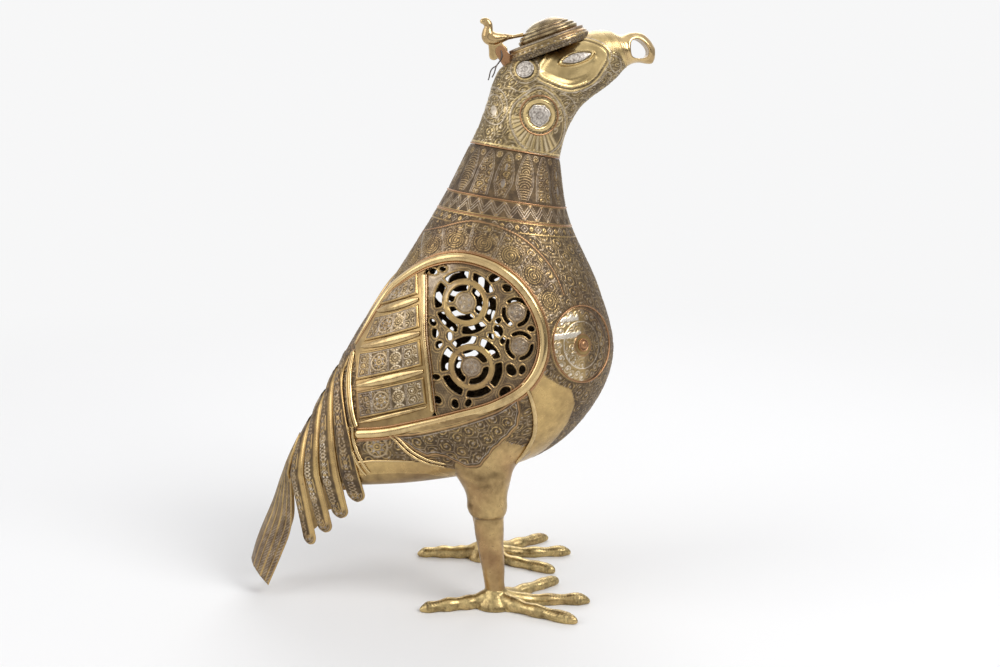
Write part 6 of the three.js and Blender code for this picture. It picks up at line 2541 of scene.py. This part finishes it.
@dataclass
class Legs:
    """The two cast legs with their feet, and the worked panels and the ribs laid on the thighs."""

    wardrobe: Wardrobe
    sections: tuple = (
        (32.3, -54.5, 12.6, 7.9, 7.6), (31.8, -54.5, 19, 7.7, 7.4), (30.9, -54.5, 28, 8.6, 8.3),
        (29.5, -54.2, 41, 9.6, 9.3), (28.3, -54, 53, 10.5, 10.3), (27.5, -53.6, 66, 11.4, 11.4),
        (27.3, -53.5, 72, 11.9, 11.8), (26.5, -53.5, 75.6, 14.2, 13.6), (26.2, -53.2, 80, 15.5, 14.4),
        (26.2, -53, 86, 15.4, 14.2), (25.6, -51.5, 95, 17.4, 16.3), (24, -48.5, 104, 21.5, 21),
        (21.5, -43, 112, 29, 26), (17, -40, 122, 48, 29), (11.5, -40, 141, 68, 34.5),
        (14, -40, 160, 72, 38.5), (20, -40, 176, 62, 37),
    )
    outline: tuple = (
        (-44, 138), (-31, 126), (-15, 111), (-8, 90), (0, 5), (64, 5), (62, 95), (65, 116), (68.5, 140),
        (66, 160),
    )
    toes: tuple = (
        ((26, -55.5, 6.4), (10, -57.5, 5.8), (-8, -60.5, 5.4), (-22.5, -62.3, 3.6), (-26.8, -62.8, 1.6)),
        ((38, -54.5, 6.6), (58, -54, 5.2), (82, -54.5, 4.8), (101, -55.5, 4.3), (106.6, -56, 1.8)),
        ((36, -58, 6.6), (52, -70, 5.6), (72, -84, 5), (87, -93.6, 4), (91, -96, 1.7)),
        ((36, -51, 6.2), (50, -37, 5), (66, -25, 4.7), (83, -13, 4.2), (87, -10.2, 1.8)),
    )
    under_frame: tuple = (
        (-46.5, 140.5), (-29.6, 143.5), (-7.6, 149.3), (14.5, 156), (32.9, 162.5), (46, 171.5),
    )
    lobed: tuple = (
        (-45, 139.5), (-40, 136), (-30.6, 129), (-21, 123.2), (-8.3, 123.5), (0, 119.8), (9.4, 114.6),
        (18.6, 114.4), (24.4, 119.7), (30.9, 128.5), (41.2, 138.1), (48.6, 147), (50.2, 160), (48.4, 170),
    )
    beads: tuple = (
        (((50.8, 181), (54.7, 175.8), (58.7, 164.3), (60.9, 151.5), (60.2, 137.9), (55.7, 126.8),
          (47.5, 115)), 2.0, 2.3, (0.0,)),
        (((-47.3, 141), (-41.6, 136), (-32.8, 127.5), (-20.9, 120.5), (-6, 116.3)), 1.2, 1.5, (-1.5, 1.5)),
        (((-77, 142), (-76.5, 133), (-73.5, 123), (-69, 114), (-64, 107)), 1.7, 2.0, (-2.1, 2.1)),
        (((-73, 116), (-58, 118.5), (-42, 119.5), (-29, 119.5)), 1.1, 1.2, (0.0,)),
    )
    hub: tuple = ((-1, 2.0), (3, 1.96), (6.5, 1.7), (9.5, 1.38), (12.5, 1.14), (15, 1.0))
    sink: float = 0.28

    def build(self) -> None:
        """Makes both legs and feet, and the thighs' panels and ribs."""
        for made, node, finish in ((self.leg(), "leg", Wardrobe.LEG), (self.foot(), "foot", Wardrobe.FOOT)):
            left = made.copy()
            left.data = made.data.copy()
            left.name = f"cast_{node}_left"
            bpy.context.scene.collection.objects.link(left)
            points = np.empty(len(left.data.vertices) * 3, np.float32)
            left.data.vertices.foreach_get("co", points)
            left.data.vertices.foreach_set("co", mirrored(points.reshape(-1, 3)).astype(np.float32).ravel())
            left.data.flip_normals()
            self.wardrobe.dress(made, finish, f"{node}_right")
            self.wardrobe.dress(left, finish, f"{node}_left")
        self.wardrobe.pair("thigh_panel", [self.thigh()], Wardrobe.INLAID)
        self.wardrobe.pair("thigh_ribs", self.ribs(), Wardrobe.SMOOTH)

    def skin(self, flat: Array, off: float = 0.0) -> Array:
        """Finds points on the leg or the body, whichever stands further out.

        The two distances pass into each other as half their sum and the root of their difference squared and
        a small square.

        Args:
            flat: x and z, seen from the near side.
            off: how far off the skin, in mm.

        Returns:
            The points.
        """
        rows = spline(self.sections, 160)
        rows = rows[np.argsort(rows[:, 2])]
        x, z = flat[..., 0], flat[..., 1]
        cx, cy, along, across = (np.interp(z, rows[:, 2], rows[:, k]) for k in (0, 1, 3, 4))
        leg = -cy + across * np.sqrt(np.clip(1 - ((x - cx) / along) ** 2, 0, 1))
        t, phi = BODY.locate(x, z)
        body = -BODY.bare(t, phi)[..., 1]
        out = (leg + body + np.hypot(leg - body, 1.6)) / 2
        return np.stack([x, -out - off, z], axis=-1)

    def thigh(self) -> Part:
        """Shapes the thigh's worked panel, between the wing's frame and a lobed edge.

        Returns:
            The part.
        """
        top, low = spline(self.under_frame, 150), spline(self.lobed, 150)
        share = np.linspace(0, 1, 84)[:, None, None]
        flat = lerp(top, low, share)
        down, run = travel(flat), travel(low)[None]
        edge = np.minimum(np.minimum(down, down[-1:] - down), np.minimum(run, run[:, -1:] - run))
        x, z = flat[..., 0], flat[..., 1]
        depth = edge - 0.9 * np.abs(np.sin(run * math.pi / 10.5)) * (share[..., 0] > 0.5)
        work = scrolls(x + 0.3 * (z - 130), z, 10.5, 2.0).lay(disc(depth, 2.6), plate_of(x, 0.0, 0.5))
        work = work.wires(depth, ((3.0, 0.3, 0.0, Metal.DARK), (1.9, 0.3, 0.5, Metal.COPPER),
                                  (4.0, 0.35, 0.35, Metal.SILVER), (0.9, 0.25, 0.0, Metal.DARK)))
        base = self.skin(flat, 0.5)
        out = grid_normals(base, False)
        out = out * np.sign(-out[..., 1:2])
        fall = 1.6 * (1 - smooth(0.0, 1.6, edge)) ** 2
        return pillow(base + out * (work.height * 1.2 - fall)[..., None], base - out * 2.2, work)

    def ribs(self) -> list[Part]:
        """Sweeps gold beads: the thigh's front rib, its double rear rib, and those behind the wing.

        Returns:
            The beads.
        """
        parts = []
        for points, half, rise, shifts in self.beads:
            flat = spline(points, 120)
            path = self.skin(flat, 0.1)
            out = self.skin(flat + [0, 1.0]) - self.skin(flat - [0, 1.0])
            side = self.skin(flat + [1.0, 0]) - self.skin(flat - [1.0, 0])
            up = unit(np.cross(out, side))
            up *= np.sign(-up[:, 1:2])
            across = unit(np.cross(unit(np.gradient(path, axis=0)), up))
            swell = 0.35 + 0.65 * np.sin(np.linspace(0.06, 1, 120) ** 0.8 * math.pi) ** 0.45
            profile = round_profile(half, rise, 12, 1.0)
            parts += [swept(path + across * shift, up, profile, swell, swell, polish=0.8) for shift in shifts]
        return parts

    def leg(self) -> bpy.types.Object:
        """Shapes the right leg: level ellipses, cut off at the wing's frame and where they enter the body.

        Returns:
            The object.
        """
        rows = spline(self.sections, 120)
        form = joined("cast_leg_right", [Part.tube(ellipses(rows, 96))])
        top = spline(FRAME_LINE[1:6], 30)[::-1]
        cut = joined("cut_outline", [prism(np.vstack([self.outline, top]), -130, 0)])
        combined(form, cut, "INTERSECT")
        t, phi = np.meshgrid(np.linspace(0, BODY.last, 90), circle(120), indexing="ij")
        room = joined("cut_body", [Part.tube(BODY.point(t, phi, -0.9))])
        combined(form, room, "DIFFERENCE")
        melted(form, 1.0, 4)
        return finished(form, self.leg_relief)

    def leg_relief(self, p: Array, n: Array) -> Relief:
        """Works out the cast shank: shallow dents, and a low collar over a dark line at the knee.

        Args:
            p: its points.
            n: their normals, which aren't needed.

        Returns:
            The worked surface.
        """
        x, y, z = p.T
        dents = 0.35 * np.sin(x * 0.31) * np.sin(z * 0.23 + y * 0.4) * smooth(112, 100, z)
        collar = smooth(73.2, 74.4, z) * smooth(78, 75.5, z)
        return Relief.blank(x, 0.55, height=dents + 0.3 * collar, ground=0.7 * line(z - 73.0, 0.5, 0.5))

    def foot(self) -> bpy.types.Object:
        """Shapes the right foot: four knuckled toes and a hub, run together and cut flat underneath.

        Returns:
            The object.
        """
        x, y = self.sections[0][:2]
        along, across = 7.8, 7.5
        hub = np.array([(x, y, h, along * k, across * k) for h, k in self.hub])
        parts = [Part.tube(ellipses(spline(hub, 24), 40))]
        for k, toe in enumerate(self.toes):
            rows = spline(toe, 70)
            length = np.linspace(0, 1, 70)
            knuckle = 1 + 0.09 * np.cos(length * TAU * 3.5 + k)
            knuckle = knuckle + 0.13 * np.exp(-((length - 0.87) / 0.05) ** 2)
            radius = rows[:, 2] * knuckle
            tip = np.sqrt(np.clip(1 - np.clip((length - 0.965) / 0.035, 0, 1) ** 2, 0.02, 1))
            radius = radius * tip
            lift = rows[:, 2] * (1 - self.sink) + 2.6 * np.exp(-(length / 0.16) ** 2)
            path = np.stack([rows[:, 0], rows[:, 1], lift], axis=1)
            up = np.tile([0.0, 0.0, 1.0], (70, 1))
            parts.append(swept(path, up, wire_profile(1.0, 24), radius, radius * 0.96))
        web = np.array([(44, -56, 0, 17, 13), (42, -56, 3, 14, 10), (38, -55.5, 6, 9, 7), (36, -55, 8, 4, 3)])
        parts.append(Part.tube(ellipses(spline(web, 16), 32)))
        made = joined("cast_foot_right", parts)
        melted(made, 0.68, 6)
        return finished(made, self.foot_relief)

    def foot_relief(self, p: Array, n: Array) -> Relief:
        """Works out flat soles, claw lines, and punched hatching on the backs of the toes.

        Args:
            p: its points.
            n: their normals.

        Returns:
            The worked surface.
        """
        x, y, z = p.T
        sole = np.where(z < 0.02, (0.02 - z) / np.minimum(n[:, 2], -0.2), 0.0)
        out = np.hypot(x - 32.3, y + 54.5)
        rows = pearls(out, wave(np.arctan2(y + 54.5, x - 32.3) * out, 2.0), 2.2, 0.55)
        punched = rows * (smooth(0.25, 0.7, n[:, 2]) * (z > 4) * smooth(38, 46, out) * smooth(80, 74, out))
        claw = np.maximum(line(out - 66, 0.45, 0.3), line(out - 63.6, 0.3, 0.25)) * (z > 1.5)
        height = np.clip(sole, -8, 0.0) - 0.22 * punched - 0.3 * claw
        return Relief.blank(x, 0.6, height=height, ground=np.maximum(0.8 * punched, 0.6 * claw))


# The studio

@dataclass
class Studio:
    """Floor, light and camera."""

    camera_at: tuple[float, float, float] = (-0.0364, -0.974, 0.3722)
    camera_turn: tuple[float, float, float] = (80.3, 0.0, -4.5)
    lens: float = 45.0
    white: float = 0.93
    floor_tone: float = 0.86

    def build(self) -> None:
        """Makes the three in turn."""
        scene = bpy.context.scene
        scene.view_settings.view_transform = "Standard"
        camera = bpy.data.objects.new("camera", bpy.data.cameras.new("camera"))
        scene.collection.objects.link(camera)
        camera.location = self.camera_at
        camera.rotation_euler = tuple(math.radians(a) for a in self.camera_turn)
        camera.data.lens = self.lens
        camera.data.sensor_width = 36
        scene.camera = camera
        self.floor()
        self.world()
        self.lamp("key", (1.5, -1.3, 1.9), 1.3, 37.0)
        self.lamp("fill", (-1.9, -0.6, 1.3), 1.6, 15.0)
        self.lamp("back", (0.3, 1.9, 1.8), 1.8, 20.0)

    def floor(self) -> None:
        """A pale disc that passes into the backdrop's white far from the bird."""
        rings, spokes = 24, 96
        radius = 2 + np.linspace(0, 1, rings) ** 2 * 14000
        angle = circle(spokes)
        points = np.stack([np.outer(radius, np.cos(angle)), np.outer(radius, np.sin(angle)),
                           np.zeros((rings, spokes))], axis=-1)
        faces = tube_faces(rings, spokes, False)[:2]
        made = object_from("floor", points.reshape(-1, 3), faces)
        material = bpy.data.materials.new("floor")
        material.use_nodes = True
        g = Graph(material.node_tree)
        place = g.node("ShaderNodeTexCoord")["Object"]
        away = g.node("ShaderNodeVectorMath", {"operation": "LENGTH"}, {0: place})["Value"]
        rays = g.node("ShaderNodeLightPath")
        seen = (rays["Is Camera Ray"] + rays["Is Glossy Ray"] + rays["Is Transmission Ray"]).clamped()
        share = away.above(0.45, 1.7) * seen
        matt = g.node("ShaderNodeBsdfPrincipled", {}, {
            "Base Color": (self.floor_tone, self.floor_tone, self.floor_tone, 1), "Roughness": 0.75,
        })
        glow = g.node("ShaderNodeEmission", {}, {"Color": (self.white, self.white, self.white * 1.004, 1)})
        mixed = g.node("ShaderNodeMixShader", {}, {0: share, 1: matt["BSDF"], 2: glow["Emission"]})
        g.node("ShaderNodeOutputMaterial", {}, {"Surface": mixed["Shader"]})
        made.data.materials.append(material)

    def world(self) -> None:
        """White where the camera looks and, to metal, white backdrop and top with a darker room before it."""
        world = bpy.data.worlds.new("studio")
        bpy.context.scene.world = world
        world.use_nodes = True
        g = Graph(world.node_tree)
        way = g.node("ShaderNodeTexCoord")["Generated"]
        split = g.node("ShaderNodeSeparateXYZ", {}, {"Vector": way})
        toward = split["Y"] * 0.8 + split["Z"] * 0.55
        room = g.blend((0.12, 0.115, 0.11), (1.0, 1.0, 1.0), toward.above(-0.6, 0.4))
        front = split["X"] * -0.22 + split["Y"] * -0.94 + split["Z"] * 0.26
        room = g.blend(room, (1.0, 0.99, 0.97), front.above(0.74, 0.97) * 0.85)
        room = g.blend(room, (0.1, 0.095, 0.09), (split["X"] - split["Z"] * 0.3).above(0.35, 0.95) * 0.55)
        rays = g.node("ShaderNodeLightPath")
        plain = (self.white, self.white, self.white * 1.004)
        seen = g.blend((0.52, 0.52, 0.53), room, rays["Is Glossy Ray"])
        seen = g.blend(seen, plain, (rays["Is Camera Ray"] + rays["Is Transmission Ray"]).clamped())
        back = g.node("ShaderNodeBackground", {}, {"Color": seen, "Strength": 1.0})
        g.node("ShaderNodeOutputWorld", {}, {"Surface": back["Background"]})

    def lamp(self, name: str, place: tuple[float, float, float], size: float, power: float) -> None:
        """Adds a soft square lamp that faces the bird.

        Args:
            name: its name.
            place: where it hangs, in metres.
            size: its side, in metres.
            power: its power, in watts.
        """
        data = bpy.data.lights.new(name, "AREA")
        data.size, data.energy = size, power
        made = bpy.data.objects.new(name, data)
        bpy.context.scene.collection.objects.link(made)
        made.location = place
        made.rotation_euler = (Vector((0, 0, 0.22)) - Vector(place)).to_track_quat("-Z", "Y").to_euler()


def main() -> None:
    """Builds the bird and its studio."""
    logging.basicConfig(level=logging.INFO, format="%(message)s")
    wardrobe = Wardrobe()
    for kind in (Body, Head, Fittings, Beak, Crown, Wing, Tail, Legs):
        kind(wardrobe).build()
    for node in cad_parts:
        wardrobe.redress(node, Wardrobe.PLAIN)
    Studio().build()
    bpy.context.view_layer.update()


if __name__ == "__main__":
    main()
